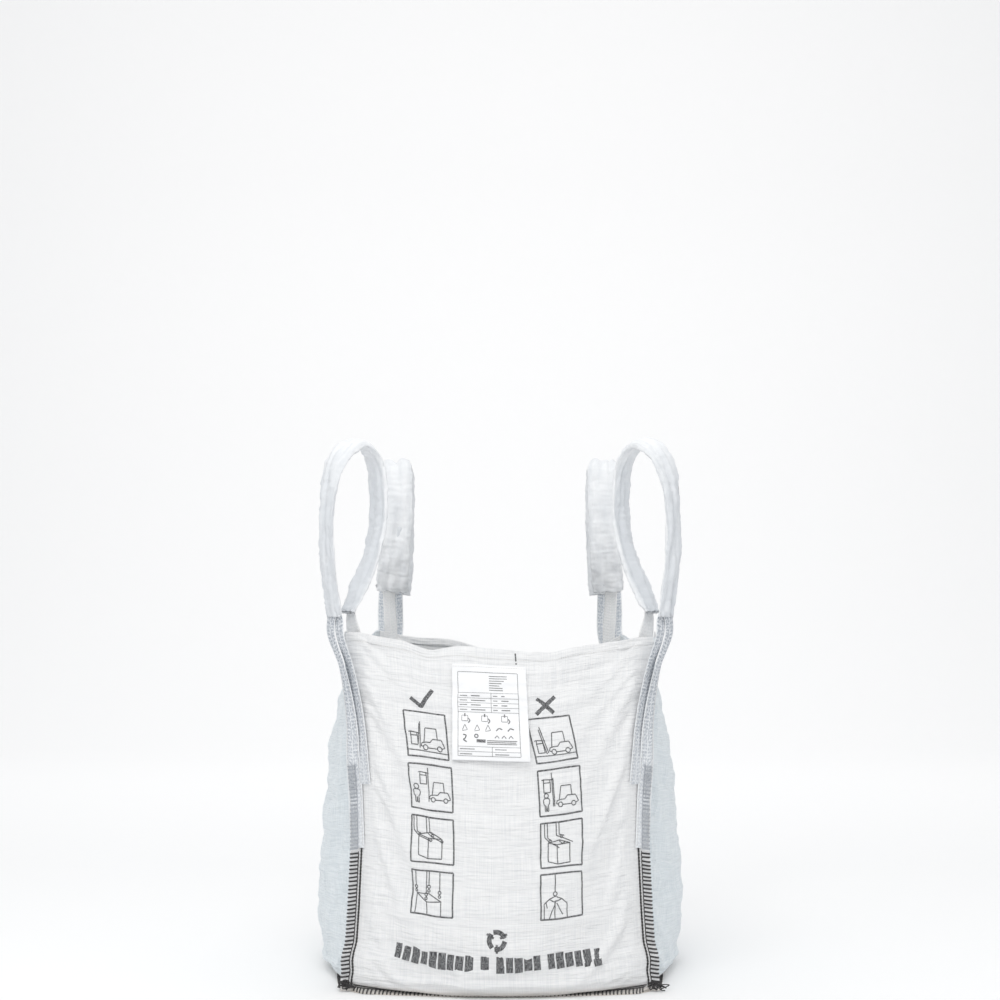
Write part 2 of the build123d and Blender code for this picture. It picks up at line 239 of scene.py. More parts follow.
def thicken(o, thickness):
    """Gives a sheet its thickness inward, for good."""
    m = o.modifiers.new("thickness", "SOLIDIFY")
    m.thickness = thickness
    m.offset = -1.0
    m.use_even_offset = False
    bpy.context.view_layer.update()
    done = bpy.data.meshes.new_from_object(o.evaluated_get(bpy.context.evaluated_depsgraph_get()))
    o.modifiers.clear()
    o.data = done


def resample(path, spacing):
    """A polyline's points, evenly spaced, ends kept."""
    path = np.asarray(path, float)
    along = lengths(path)
    count = max(2, int(round(along[-1] / spacing)) + 1)
    at = np.linspace(0, along[-1], count)
    return np.stack([np.interp(at, along, path[:, k]) for k in range(path.shape[1])], 1)


def spline(knots, count):
    """Cubic curve through knots of any width, evenly stepped by the square root of their chords."""
    knots = np.asarray(knots, float)
    along = np.append(0, np.cumsum(np.sqrt(np.linalg.norm(np.diff(knots[:, :3], axis=0), axis=1))))
    slopes = np.gradient(knots, along, axis=0)
    at = np.linspace(0, along[-1], count)
    i = np.clip(np.searchsorted(along, at) - 1, 0, len(along) - 2)
    step = (along[i + 1] - along[i])[:, None]
    s = ((at - along[i]) / (along[i + 1] - along[i]))[:, None]
    return (
        (2 * s**3 - 3 * s**2 + 1) * knots[i]
        + (s**3 - 2 * s**2 + s) * step * slopes[i]
        + (3 * s**2 - 2 * s**3) * knots[i + 1]
        + (s**3 - s**2) * step * slopes[i + 1]
    )


def tangents(path):
    """Unit direction along a polyline at each of its points."""
    return unit(np.gradient(path, axis=0))


def carried(path, start):
    """A cross direction carried along a polyline without turning about it."""
    across = np.empty_like(path)
    last = np.asarray(start, float)
    for i, t in enumerate(tangents(path)):
        last = last - t * (last @ t)
        last = last / max(np.linalg.norm(last), 1e-9)
        across[i] = last
    return across


def merged(parts):
    """Several meshes as one: points, faces, flat coordinates."""
    points, faces, uvs = zip(*parts)
    firsts = np.cumsum([0] + [len(p) for p in points[:-1]])
    return np.concatenate(points), np.concatenate([f + n for f, n in zip(faces, firsts)]), np.concatenate(uvs)


class Threads:
    """Round threads gathered into one mesh."""

    def __init__(self, sides=5):
        self.sides, self.parts = sides, []

    def add(self, path, radius):
        path = np.asarray(path, float)
        along = tangents(path)
        across = carried(path, np.cross(along[0], (0.13, 0.31, 0.94)))
        other = np.cross(along, across)
        radii = np.full(len(path), radius)
        radii[[0, -1]] *= 0.35
        angle = np.linspace(0, 2 * math.pi, self.sides, endpoint=False)
        ring = across[:, None] * np.cos(angle)[:, None] + other[:, None] * np.sin(angle)[:, None]
        points = path[:, None] + ring * radii[:, None, None]
        uv = np.stack(np.broadcast_arrays(angle[None, :] * radius, lengths(path)[:, None]), -1)
        caps = [
            [first, first + k, first + k + 1, first + k + 1]
            for first in (0, (len(path) - 1) * self.sides)
            for k in range(1, self.sides - 1)
        ]
        faces = np.concatenate([grid_faces(len(path), self.sides, True), np.array(caps)])
        self.parts.append((points.reshape(-1, 3), faces, uv.reshape(-1, 2)))

    def build(self, name, material):
        points, faces, uv = merged(self.parts)
        return make_piece(name, points, faces, material, uv)


def ribbed(rows, columns, height, row_step, column_step, wide, tall, seed):
    """Random relief whose bumps are about wide along the rows and tall across them, in metres."""
    noise = np.random.default_rng(seed).standard_normal((rows * 2, columns * 2))
    fy = np.fft.fftfreq(rows * 2, row_step)[:, None] * tall
    fx = np.fft.rfftfreq(columns * 2, column_step)[None, :] * wide
    reach = np.exp(-(fx**2 + fy**2) * 1.6) * (1 - np.exp(-((fx * 4) ** 2 + (fy * 4) ** 2)))
    relief = np.fft.irfft2(np.fft.rfft2(noise) * reach, (rows * 2, columns * 2))[:rows, :columns]
    return relief / relief.std() * height


# ---------------------------------------------------------------- materials


class Nodes:
    """A material's node tree, built up by name."""

    def __init__(self, name, colour, roughness, **shader):
        self.material = bpy.data.materials.new(name)
        self.material.use_nodes = True
        self.tree = self.material.node_tree
        self.shader = self.tree.nodes["Principled BSDF"]
        self.shader.inputs["Base Color"].default_value = (*colour, 1)
        self.shader.inputs["Roughness"].default_value = roughness
        for key, value in shader.items():
            self.shader.inputs[key.replace("_", " ")].default_value = value

    def link(self, value, socket):
        if isinstance(value, bpy.types.NodeSocket):
            self.tree.links.new(value, socket)
        else:
            socket.default_value = value

    def math(self, operation, *values, clamp=False):
        node = self.tree.nodes.new("ShaderNodeMath")
        node.operation = operation
        node.use_clamp = clamp
        for value, socket in zip(values, node.inputs):
            self.link(value, socket)
        return node.outputs[0]

    def times(self, *values, clamp=False):
        """Product of two values, plus a third if there is one."""
        return self.math("MULTIPLY_ADD" if len(values) > 2 else "MULTIPLY", *values, clamp=clamp)

    def uv(self):
        """The two flat coordinates of the cloth, in metres."""
        node = self.tree.nodes.new("ShaderNodeUVMap")
        node.uv_map = "UVMap"
        split = self.tree.nodes.new("ShaderNodeSeparateXYZ")
        self.tree.links.new(node.outputs[0], split.inputs[0])
        return split.outputs[0], split.outputs[1]

    def height(self):
        """Height above the floor."""
        node = self.tree.nodes.new("ShaderNodeTexCoord")
        split = self.tree.nodes.new("ShaderNodeSeparateXYZ")
        self.tree.links.new(node.outputs["Object"], split.inputs[0])
        return split.outputs[2]

    def noise(self, u, v, across, along, detail=3.0):
        """Noise stretched along the cloth: so many bumps to the metre each way."""
        join = self.tree.nodes.new("ShaderNodeCombineXYZ")
        self.link(self.times(u, across), join.inputs[0])
        self.link(self.times(v, along), join.inputs[1])
        node = self.tree.nodes.new("ShaderNodeTexNoise")
        node.inputs["Scale"].default_value = 1.0
        node.inputs["Detail"].default_value = detail
        self.tree.links.new(join.outputs[0], node.inputs["Vector"])
        return node.outputs[0]

    def wave(self, value, pitch, shift=0.0):
        """Sine of a coordinate, once per pitch."""
        return self.math("SINE", self.times(value, 2 * math.pi / pitch, shift))

    def weave(self, u, v, step):
        """Over and under of two sets of yarns, each a step wide."""
        return self.times(self.wave(u, step * 2), self.wave(v, step * 2))

    def mix(self, share, first, second):
        node = self.tree.nodes.new("ShaderNodeMix")
        node.data_type = "RGBA"
        self.link(share, node.inputs["Factor"])
        for value, socket in ((first, node.inputs["A"]), (second, node.inputs["B"])):
            self.link(value if isinstance(value, bpy.types.NodeSocket) else (*value, 1), socket)
        return node.outputs["Result"]

    def bump(self, height, distance, strength=1.0):
        node = self.tree.nodes.new("ShaderNodeBump")
        node.inputs["Distance"].default_value = distance
        node.inputs["Strength"].default_value = strength
        self.link(height, node.inputs["Height"])
        normal = self.shader.inputs["Normal"]
        if normal.is_linked:
            self.tree.links.new(normal.links[0].from_socket, node.inputs["Normal"])
        self.tree.links.new(node.outputs[0], normal)

    def paint(self, colour):
        self.link(colour, self.shader.inputs["Base Color"])


def woven(name, colour, shade, dirt=(0.72, 0.60, 0.46)):
    """Slit-tape polypropylene cloth: flat tapes over and under, some lighter than others."""
    n = Nodes(name, colour, 0.52, Sheen_Weight=0.08, Specular_IOR_Level=0.35)
    u, v = n.uv()
    weave = n.weave(u, v, tape)
    tapes = n.math("ADD", n.noise(u, v, 9.0, 330.0, 2.0), n.noise(u, v, 330.0, 9.0, 2.0))
    crush = n.noise(u, v, 14.0, 120.0, 5.0)
    share = n.times(n.math("SUBTRACT", tapes, 1.0), 1.9, 0.42, clamp=True)
    grain = n.times(weave, 0.16, share, clamp=True)
    scuff = n.times(n.height(), -22.0, 0.62)
    scuff = n.times(scuff, n.times(crush, 1.4, -0.1), clamp=True)
    n.paint(n.mix(scuff, n.mix(grain, colour, shade), dirt))
    n.bump(weave, 0.00022)
    n.bump(crush, 0.0075, 0.9)
    return n.material


def soft_cloth(name, colour, shade):
    """Light close cloth of the loop sleeves, with painted shade in the hollow of each loop."""
    n = Nodes(name, colour, 0.62, Sheen_Weight=0.15, Specular_IOR_Level=0.3)
    u, v = n.uv()
    crush = n.noise(u, v, 55.0, 26.0, 5.0)
    # painted shade: down the middle of the far leg's inner face, and over the near leg's outer face
    far_leg = n.times(v, 6.0, -3.8, clamp=True)
    near_leg = n.times(v, -6.0, 3.2, clamp=True)
    hollow = n.times(n.wave(u, sleeve_flat * 2), 1.9, -0.55, clamp=True)
    outside = n.times(n.math("GREATER_THAN", u, sleeve_flat), 0.7)
    painted_shade = n.times(outside, near_leg, n.times(hollow, far_leg))
    streaks = n.times(n.noise(u, v, 46.0, 9.0), 1.6, -0.45)
    n.paint(n.mix(n.math("ADD", streaks, painted_shade, clamp=True), colour, shade))
    n.bump(n.weave(u, v, 0.0016), 0.00015)
    n.bump(crush, 0.006, 0.7)
    return n.material


def webbing_cloth(name, colour, dark):
    """Flat woven band: slanting ribs and specks, with a plain line down the middle and plain edges."""
    n = Nodes(name, colour, 0.6, Sheen_Weight=0.1, Specular_IOR_Level=0.3)
    u, v = n.uv()
    away = n.math("ABSOLUTE", u)
    ribs = n.times(n.wave(n.math("ADD", away, v), 0.0105), n.wave(u, 0.0088, 1.2))
    hatch = n.times(ribs, 0.62, 0.34, clamp=True)
    specks = n.times(n.noise(u, v, 190.0, 130.0, 3.0), 3.8, -1.45, clamp=True)
    pattern = n.times(specks, 0.75, n.times(hatch, 0.62), clamp=True)
    up = n.times(n.height(), 2.2, -0.95, clamp=True)
    pattern = n.times(pattern, n.times(up, 0.62, 0.38))
    middle = n.math("LESS_THAN", away, 0.0009)
    plain = n.times(n.math("GREATER_THAN", away, 0.0188), 0.75, middle)
    n.paint(n.mix(n.math("SUBTRACT", pattern, plain, clamp=True), colour, dark))
    n.bump(ribs, 0.0005)
    return n.material


def thread_fibre(name, colour, shade):
    """Twisted sewing thread."""
    n = Nodes(name, colour, 0.55, Sheen_Weight=0.2)
    u, v = n.uv()
    twist = n.wave(n.times(u, 0.8, v), 0.0016)
    n.paint(n.mix(n.times(twist, 0.35, 0.4, clamp=True), colour, shade))
    n.bump(twist, 0.0002)
    return n.material


def ink_on_cloth(name, colour, gap):
    """Printed ink, broken up by the weave under it."""
    n = Nodes(name, colour, 0.6)
    u, v = n.uv()
    weave = n.weave(u, v, tape)
    wear = n.times(n.noise(u, v, 260.0, 260.0, 3.0), 2.6, -1.05)
    n.paint(n.mix(n.times(weave, 0.22, wear, clamp=True), colour, gap))
    n.bump(weave, 0.0002)
    return n.material


def smooth_stock(name, colour, shade):
    """Thin smooth label stock."""
    n = Nodes(name, colour, 0.42, Specular_IOR_Level=0.4)
    u, v = n.uv()
    fibres = n.noise(u, v, 90.0, 90.0, 6.0)
    n.paint(n.mix(n.times(fibres, 0.9, -0.2, clamp=True), colour, shade))
    n.bump(fibres, 0.0008, 0.5)
    return n.material


front_cloth = woven("front_cloth", (0.915, 0.915, 0.915), (0.79, 0.80, 0.815))
# the side walls take a darker, bluer copy of the same woven cloth: painted shade, for walls turned away from the key
# light
shaded_side_cloth = woven("shaded_side_cloth", (0.84, 0.885, 0.91), (0.66, 0.72, 0.76))
base_cloth = woven("base_cloth", (0.86, 0.86, 0.85), (0.76, 0.75, 0.73))
# the sleeves' second colour is their painted shade, and also the tone of their streaks
sleeve_cloth = soft_cloth("sleeve_cloth", (0.90, 0.91, 0.925), (0.70, 0.725, 0.755))
front_webbing = webbing_cloth("webbing_cloth", (0.86, 0.88, 0.90), (0.33, 0.365, 0.42))
# the rear loops' webbing is a lighter copy of the front's: painted light
lit_rear_webbing = webbing_cloth("rear_webbing_cloth", (0.93, 0.945, 0.96), (0.52, 0.57, 0.63))
plain_webbing = webbing_cloth("plain_webbing", (0.95, 0.95, 0.95), (0.86, 0.87, 0.88))
black_thread = thread_fibre("black_thread", (0.018, 0.017, 0.019), (0.06, 0.055, 0.055))
grey_thread = thread_fibre("grey_thread", (0.42, 0.45, 0.50), (0.64, 0.67, 0.71))
white_thread = thread_fibre("white_thread", (0.86, 0.85, 0.83), (0.70, 0.66, 0.60))
ink = ink_on_cloth("printed_ink", (0.035, 0.035, 0.038), (0.42, 0.43, 0.44))
label_ink = ink_on_cloth("label_ink", (0.10, 0.10, 0.105), (0.40, 0.40, 0.41))
label_stock = smooth_stock("label_stock", (0.93, 0.935, 0.945), (0.86, 0.87, 0.89))

# ---------------------------------------------------------------- walls


def rim_drop(wall, t):
    """How far the rim hangs below the corner folds along a wall; the right side hangs a little lower."""
    (side_a, _), (side_b, _), _ = WALLS[wall]
    tilt = 0.010 + 0.004 * (side_a * (1 - t) + side_b * (1 + t))
    c = np.cos(t * math.pi / 2)
    if wall == "front":
        dips = 0.017 * hump(t, -0.46, 0.11) + 0.012 * hump(t, 0.30, 0.16) - 0.004 * hump(t, -0.2, 0.12)
        return tilt + 0.030 * c**2 + dips
    if wall == "rear":
        return tilt + 0.012 * (1 - t**8) + 0.043 * (1 - np.abs(t) ** 4.6) * eased(1 - ramp(t, 0.0, 0.5))
    return tilt + 0.048 * c**2 + 0.006 * np.sin(t * 7.0) * c


def cloth_drop(wall, t, z):
    """How far the cloth's level threads sag at a height."""
    share = np.clip(z / rim_height, 0, 1)
    low = (0.008 * ramp(z, 0.0, 0.1) + 0.037 * share) * np.cos(t * math.pi / 2) ** 2
    near_rim = ramp(share, 0.8, 1.0) ** 1.5
    return low * (1 - near_rim) + rim_drop(wall, t) * near_rim


def bow(t, half, sagitta):
    """Height of a circular arc over its chord, at a share of the half chord."""
    radius = (half**2 + sagitta**2) / (2 * sagitta)
    return np.sqrt(radius**2 - (t * half) ** 2) - (radius - sagitta)


def climb():
    """Heights and bulges up the middle of a wall, evenly stepped, from where it lies on the floor."""
    on_floor = ((foot_height, 0.0), (0.0066, 0.020), (0.0070, 0.038), (0.0078, 0.047), (0.0125, 0.0525))
    knots = [(z, foot_bow + out) for z, out in on_floor]
    knots += [(z, b + 0.004 * max(0, 1 - z / 0.06)) for z, b in zip(bulge_heights, bulges) if z > 0.018]
    line = spline(knots, 900)
    least = np.interp(line[:, 1], [foot_bow, foot_bow + 0.012], [foot_height, 0.0062])
    line[:, 0] = np.maximum.accumulate(np.maximum(line[:, 0], least))
    along = lengths(line)
    at = np.linspace(0, along[-1], int(along[-1] / cell) // 2 * 2 + 1)
    return np.stack([np.interp(at, along, line[:, 0]), np.interp(at, along, line[:, 1])], 1)


profile = climb()


def foot_lift(t, z):
    """How much the foot of a wall is raised toward its corners."""
    return corner_rise * np.abs(t) ** 2.5 * (1 - ramp(z, foot_height, foot_height + 0.09)) ** 2


def wall_grid(wall):
    """Points of a wall, rows from the bottom seam up, columns from corner to corner."""
    (side_a, end_a), (side_b, end_b), out = WALLS[wall]
    t = np.linspace(-1, 1, wall_columns)[None, :]
    z, b = profile[:, :1], profile[:, 1:]
    half_a, half_b = half_at(z, end_a), half_at(z, end_b)
    start = np.concatenate([side_a * half_a, end_a * half_a], 1)[:, None]
    finish = np.concatenate([side_b * half_b, end_b * half_b], 1)[:, None]
    share = ((t + 1) / 2)[..., None]
    reach = bow(t, (half_a + half_b) / 2, b)
    level = start * (1 - share) + finish * share + reach[..., None] * np.array(out, float)
    height = z - cloth_drop(wall, t, z) * ramp(z, foot_height, foot_height + 0.1) + foot_lift(t, z)
    tuck = hump(b, foot_bow + 0.0455, 0.0065) * (z < 0.02) * (1 - ramp(np.abs(t), 0.35, 0.55))
    return np.concatenate([level, (height - 0.0042 * tuck)[..., None]], 2)


def grid_normals(points):
    """Outward unit normals of a wall's grid."""
    return unit(np.cross(np.gradient(points, axis=1), np.gradient(points, axis=0)))


def raised(points, height):
    """A wall's grid moved outward by so much at each point."""
    return points + grid_normals(points) * height[..., None]


def doubled(values):
    """A grid's values with a smooth midpoint between each two, both ways."""
    for axis in (0, 1):
        values = np.moveaxis(values, axis, 0)
        ends = np.concatenate([2 * values[:1] - values[1:2], values, 2 * values[-1:] - values[-2:-1]])
        out = np.empty((2 * len(values) - 1, *values.shape[1:]))
        out[0::2], out[1::2] = values, (9 * (ends[1:-2] + ends[2:-1]) - ends[:-3] - ends[3:]) / 16
        values = np.moveaxis(out, 0, axis)
    return values


def settle(points, hold, push, frames):
    """Blender's cloth run on a grid cut too large by the slack, held where hold is 1; gives where it ends."""
    rows, columns = points.shape[:2]
    o = make_piece("settling", points, grid_faces(rows, columns))
    group = o.vertex_groups.new(name="held")
    hold = np.round(hold.reshape(-1), 2)
    for value in np.unique(hold[hold > 0]):
        group.add(np.flatnonzero(hold == value).tolist(), float(value), "REPLACE")
    cloth = o.modifiers.new("cloth", "CLOTH")
    c = cloth.settings
    c.quality = 4
    c.mass = 0.12
    c.tension_stiffness = c.compression_stiffness = 12
    c.shear_stiffness = 4
    c.bending_stiffness = 0.35
    c.tension_damping = c.compression_damping = c.shear_damping = 8
    c.bending_damping = 0.6
    c.air_damping = 2.5
    c.vertex_group_mass = "held"
    c.pin_stiffness = 1.0
    c.shrink_min = c.shrink_max = -slack
    c.use_pressure = True
    c.uniform_pressure_force = push
    c.pressure_factor = 0
    cloth.collision_settings.use_collision = False
    cloth.point_cache.frame_start = 1
    cloth.point_cache.frame_end = frames
    for f in range(1, frames + 1):
        scene.frame_set(f)
    settled = o.evaluated_get(bpy.context.evaluated_depsgraph_get()).to_mesh()
    result = np.empty(rows * columns * 3, np.float32)
    settled.vertices.foreach_get("co", result)
    scene.frame_set(1)
    bpy.data.objects.remove(o, do_unlink=True)
    return result.reshape(rows, columns, 3).astype(float)


def wall_hold(rows, columns):
    """Where a wall is held: firmly at the corners and the bottom seam, a little at the rim, hardly between."""
    t = np.abs(np.linspace(-1, 1, columns))[None, :]
    v = np.linspace(0, 1, rows)[:, None]
    firm = np.maximum(ramp(t, 0.86, 0.91), 1 - ramp(v, 0.01, 0.04))
    return np.maximum(firm, np.maximum(0.25 * ramp(v, 0.97, 1.0), 0.03))


def crease(z, at, depth, wander, seed):
    """A pressed fold at a height across a wall: a ridge over a dip, wandering a little."""
    drift = np.random.default_rng(seed).standard_normal(z.shape[1])
    kernel = np.hanning(41)
    drift = np.convolve(np.pad(drift, 20, mode="reflect"), kernel / kernel.sum(), "valid")
    away = z - at - drift / np.abs(drift).max() * wander
    return depth * (ridge(away, 0.0, 0.004) - 0.5 * ridge(away, -0.009, 0.008))


def finished_wall(wall, seed):
    """The wall's grid with its settled folds, crinkles and pressed creases."""
    base = wall_grid(wall)
    rows, columns = base.shape[:2]
    t = np.abs(np.linspace(-1, 1, columns))[None, :]
    z = base[..., 2]
    free = (1 - ramp(t, 0.86, 0.93)) * ramp(z, 0.02, 0.07)
    relief = ribbed(rows, columns, 0.0030, cell, cell, 0.20, 0.085, seed)
    relief += ribbed(rows, columns, 0.0013, cell, cell, 0.17, 0.026, seed + 1)
    relief += ribbed(rows, columns, 0.0007, cell, cell, 0.03, 0.045, seed + 2)
    start = raised(base, relief * free)
    coarse = start[::2, ::2]
    moved = settle(coarse, wall_hold(*coarse.shape[:2]), 0.9, 22) - coarse
    length = np.linalg.norm(moved, axis=2, keepdims=True)
    moved = unit(moved) * fold_reach * np.tanh(length / fold_reach)
    start = start + doubled(moved * ramp(coarse[..., 2:], 0.010, 0.060))
    start[..., 2] = np.maximum(start[..., 2], floor_gap)
    across = base[..., 0] if wall in ("front", "rear") else base[..., 1]
    lines = crease(z, 0.452, 0.0016, 0.012, seed + 3) + crease(z, 0.365, 0.0009, 0.010, seed + 4)
    lines += 0.0018 * ridge(np.abs(across), corner_fold, 0.003) + 0.0006 * ridge(across, 0.0, 0.004)
    return raised(start, lines * free)


def fin_columns(corner, z, share, ply):
    """Points of one ply of a corner's seam allowance, at a share of its width; it waves toward its edge."""
    side, end = corner
    half = half_at(z, end)
    low, high = fin_fades
    reach = (0.004 + (fin_width - 0.004) * eased(1 - ramp(z, low, high))) * share
    sway = (0.0022 * np.sin(z * 31.0) + 0.0016 * np.sin(z * 74.0 + 1.1)) * reach / fin_width
    return np.stack([side * (half + reach), end * (half + ply) + end * sway, z], -1)


def lip_share(t):
    """How much of the bottom allowance is left along a wall: it is trimmed away at the corners."""
    return np.clip(0.1 + (1 - np.abs(t)) / 0.075, 0, 1)


def joined_wall(wall, body):
    """The wall with its corner allowances, its bottom lip and its folded rim, as one sheet."""
    *corners, out = WALLS[wall]
    ply = 0.0013 if wall in ("front", "rear") else -0.0013
    z = body[:, 0, 2]
    fin_a, fin_b = (np.stack([fin_columns(c, z, k / 4, ply) for k in (1, 2, 3, 4)], 1) for c in corners)
    sheet = np.concatenate([fin_a[:, ::-1], body, fin_b], 1)
    foot = sheet[0]
    reach = np.pad(lip_share(np.linspace(-1, 1, body.shape[1])), 4, mode="edge")[:, None]
    rows = []
    for k in (1.0, 0.66, 0.33, 0.1):
        row = foot + np.array([*out, 0.0]) * lip * reach * k
        wave = 0.0016 * np.sin(np.arange(len(foot)) * 0.5) * k
        row[:, 2] = (foot[:, 2] - 0.0012) * (1 - k) + 0.0024 * k + wave * k * (1 - k)
        rows.append(row)
    top, inward = sheet[-1], -grid_normals(sheet)[-1]
    folded = [top + inward * 0.0015 + [0, 0, 0.0008]]
    folded += [top + inward * 0.0028 - [0, 0, rim_turn * k] for k in (0.12, 0.4, 0.7, 1.0)]
    return np.concatenate([np.stack(rows), sheet, np.stack(folded)])


class Surface:
    """A finished wall to draw on: its grid, looked up by share of the width and thread height."""

    def __init__(self, body):
        self.body = body
        self.normal = grid_normals(body)

    def at(self, t, z, lift=0.0):
        rows, columns = self.body.shape[:2]
        i = np.interp(z, profile[:, 0], np.arange(rows))
        j = (np.asarray(t) + 1) / 2 * (columns - 1)
        normal = unit(pick(self.normal, i, j))
        return pick(self.body, i, j) + normal * lift, normal


surfaces = {}
for wall, seed in zip(WALLS, (21, 41, 61, 81)):
    body = finished_wall(wall, seed)
    surfaces[wall] = Surface(body)
    sheet = joined_wall(wall, body)
    across = lengths(sheet[60])
    uv = np.stack(np.meshgrid(across - across[-1] / 2, lengths(sheet[:, sheet.shape[1] // 2])), -1)
    # the front and rear walls take the plain cloth, the side walls the copy with painted shade
    cloth = front_cloth if wall in ("front", "rear") else shaded_side_cloth
    piece = make_piece(f"{wall}_panel_cloth", sheet, grid_faces(*sheet.shape[:2]), cloth, uv)
    thicken(piece, cloth_ply)
    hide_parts(f"{wall}_panel")
    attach(piece, "bag")

# ---------------------------------------------------------------- base


def base_grid():
    """Points of the base cloth: a square bowed out along each edge, faintly creased."""
    count = 121
    s = np.linspace(-1, 1, count)
    u, v = np.meshgrid(s, s)
    edge = float(half_at(foot_height, -1)) + lip - base_round * (np.abs(u) * np.abs(v)) ** 10
    x = u * (edge + foot_bow * (1 - v**2) * np.abs(u))
    y = v * (edge + foot_bow * (1 - u**2) * np.abs(v))
    z = 0.0012 + 0.0004 * np.abs(ribbed(count, count, 1.0, 0.008, 0.008, 0.12, 0.12, 7))
    return np.stack([x, y, z], -1)


base_points = base_grid()
base_piece = make_piece(
    "base_panel_cloth", base_points, grid_faces(*base_points.shape[:2]), base_cloth, base_points[..., :2]
)
thicken(base_piece, 0.0008)
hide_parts("base_panel")
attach(base_piece, "bag")

# ---------------------------------------------------------------- seam threads


class Rail:
    """A seam allowance to sew along: its sewn edge and its cut edge, and the way it faces."""

    def __init__(self, root, tip, face):
        self.root, self.tip, self.face = root, tip, face
        self.along = lengths((root + tip) / 2)

    def at(self, s, share, side):
        """Point at a distance along, a share of the way to the cut edge, on the front (1) or back (-1)."""
        root, tip, face = (at_length(s, self.along, line) for line in (self.root, self.tip, self.face))
        return root + (tip - root) * share + face * side * ply_face


def overlock(threads, rail, start, finish, near, seed, radius, flat=1.0, over=1.0):
    """Thread over the cut edge, out along the front, round the edge and back, with a row of beads beside it."""
    shake = np.random.default_rng(seed)
    s = start
    path = []
    while s < finish:
        p = overlock_pitch * (1 + shake.uniform(-0.07, 0.07))
        dip = -0.30 * p + shake.uniform(-0.0008, 0.0008)
        for ahead, share, side in (
            (0.0, near, 1), (0.02 * p, near + 0.03, 1.3), (dip + 0.08 * p, 0.96, 1.2), (dip + 0.10 * p, 1.03, 0),
            (dip + 0.12 * p, 0.97, -1.1), (0.14 * p, near, -1.1), (dip + 0.26 * p, 0.97, -1.1),
            (dip + 0.28 * p, 1.03, 0), (dip + 0.30 * p, 0.96, 1.2), (0.26 * p, near + 0.03, 1.3),
            (0.30 * p, near, 1), (0.65 * p, near - 0.012, 1.2),
        ):
            side *= flat * over if side > 0 else flat
            path.append(rail.at(s + ahead, share + shake.uniform(-0.012, 0.012), side))
        s += p
    threads.add(spline(path, len(path) * 3), radius)
    run = np.arange(start, finish, 0.0045)
    beads = near - 0.014 + 0.012 * np.sin(run * 2 * math.pi / overlock_pitch)
    threads.add([rail.at(s, share, 1.3 * flat * over) for s, share in zip(run, beads)], radius)


def chain(threads, rail, start, finish, share, radius):
    """Chain stitch: two strands that cross at every stitch."""
    s = np.arange(start, finish, chain_pitch / 6)
    for turn in (0.0, math.pi):
        wave = np.sin(s * math.pi / chain_pitch + turn)
        threads.add([rail.at(a, share + 0.045 * w, 1.0 + 0.35 * abs(w)) for a, w in zip(s, wave)], radius)


def corner_rail(corner):
    """The allowance at a corner, from the floor up."""
    z = np.linspace(foot_height + corner_rise, 1.0, 260)
    face = np.zeros((len(z), 3))
    face[:, 1] = corner[1]
    return Rail(fin_columns(corner, z, 0.0, 0.0), fin_columns(corner, z, 1.0, 0.0), face)


def foot_rail(wall):
    """The bottom allowance of a wall, seen from above and outside."""
    out = np.array([*WALLS[wall][2], 0.0])
    root = surfaces[wall].body[0] - [0, 0, 0.0006]
    tip = root + out * lip * lip_share(np.linspace(-1, 1, len(root)))[:, None]
    tip[:, 2] = 0.0037
    face = unit(np.cross(tangents(root), out))
    return Rail(root, tip, face * np.sign(face[:, 2:]))


def seam_piece(threads, name, material, node):
    """Thread that stands for a seam of the CAD."""
    piece = threads.build(name, material)
    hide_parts(node)
    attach(piece, "bag")


seed = 300
strap_foot = band_low_a - foot_height - corner_rise
for name, corner in CORNERS.items():
    rail = corner_rail(corner)
    low, upper, line = Threads(), Threads(), Threads()
    overlock(upper, rail, strap_foot + 0.002, 0.66, 0.36, seed, 0.0011, over=3.7)
    overlock(low, rail, 0.0, strap_foot - 0.006, 0.28, seed + 1, 0.0013)
    chain(line, rail, 0.0, strap_foot + 0.02, 0.02, 0.0016)
    tangle = random.standard_normal((60, 3)) * [0.012, 0.0035, 0.0075]
    tangle = spline(tangle + rail.at(0.002, 0.55, 0.8) - [0, 0, 0.004], 420)
    tangle[:, 2] = np.maximum(tangle[:, 2], 0.0020)
    low.add(tangle, 0.0016)
    seam_piece(low, f"corner_overlock_thread_{name}", black_thread, f"corner_overlock_{name}")
    piece = upper.build(f"corner_overlock_upper_{name}", grey_thread)
    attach(piece, "bag")
    seam_piece(line, f"corner_chain_thread_{name}", black_thread, f"corner_chain_{name}")
    seed += 10

hem_height = rim_height - rim_turn
for wall, surface in surfaces.items():
    rail = foot_rail(wall)
    length = rail.along[-1]
    edge, line, hem = Threads(), Threads(), Threads(4)
    overlock(edge, rail, 0.006, length - 0.006, 0.42, seed, 0.0012, 0.8)
    seam_piece(edge, f"base_overlock_thread_{wall}", black_thread, f"base_overlock_{wall}")
    chain(line, rail, 0.002, length - 0.002, 0.16, 0.0013)
    seam_piece(line, f"base_chain_thread_{wall}", black_thread, f"base_chain_{wall}")
    t = np.linspace(-0.97, 0.97, 3000)
    along = lengths(surface.at(t, np.full(len(t), hem_height))[0])
    for s in np.arange(0, along[-1] - 0.008, hem_pitch):
        at = np.interp(np.linspace(s, s + 0.0052, 5), along, t)
        spots, out = surface.at(at, np.full(5, hem_height))
        hem.add(spots + out * np.array([[-0.0002], [0.0007], [0.0009], [0.0007], [-0.0002]]), 0.0005)
    seam_piece(hem, f"hem_stitch_thread_{wall}", white_thread, f"hem_stitch_{wall}")
    seed += 10

# ---------------------------------------------------------------- webbing and loops


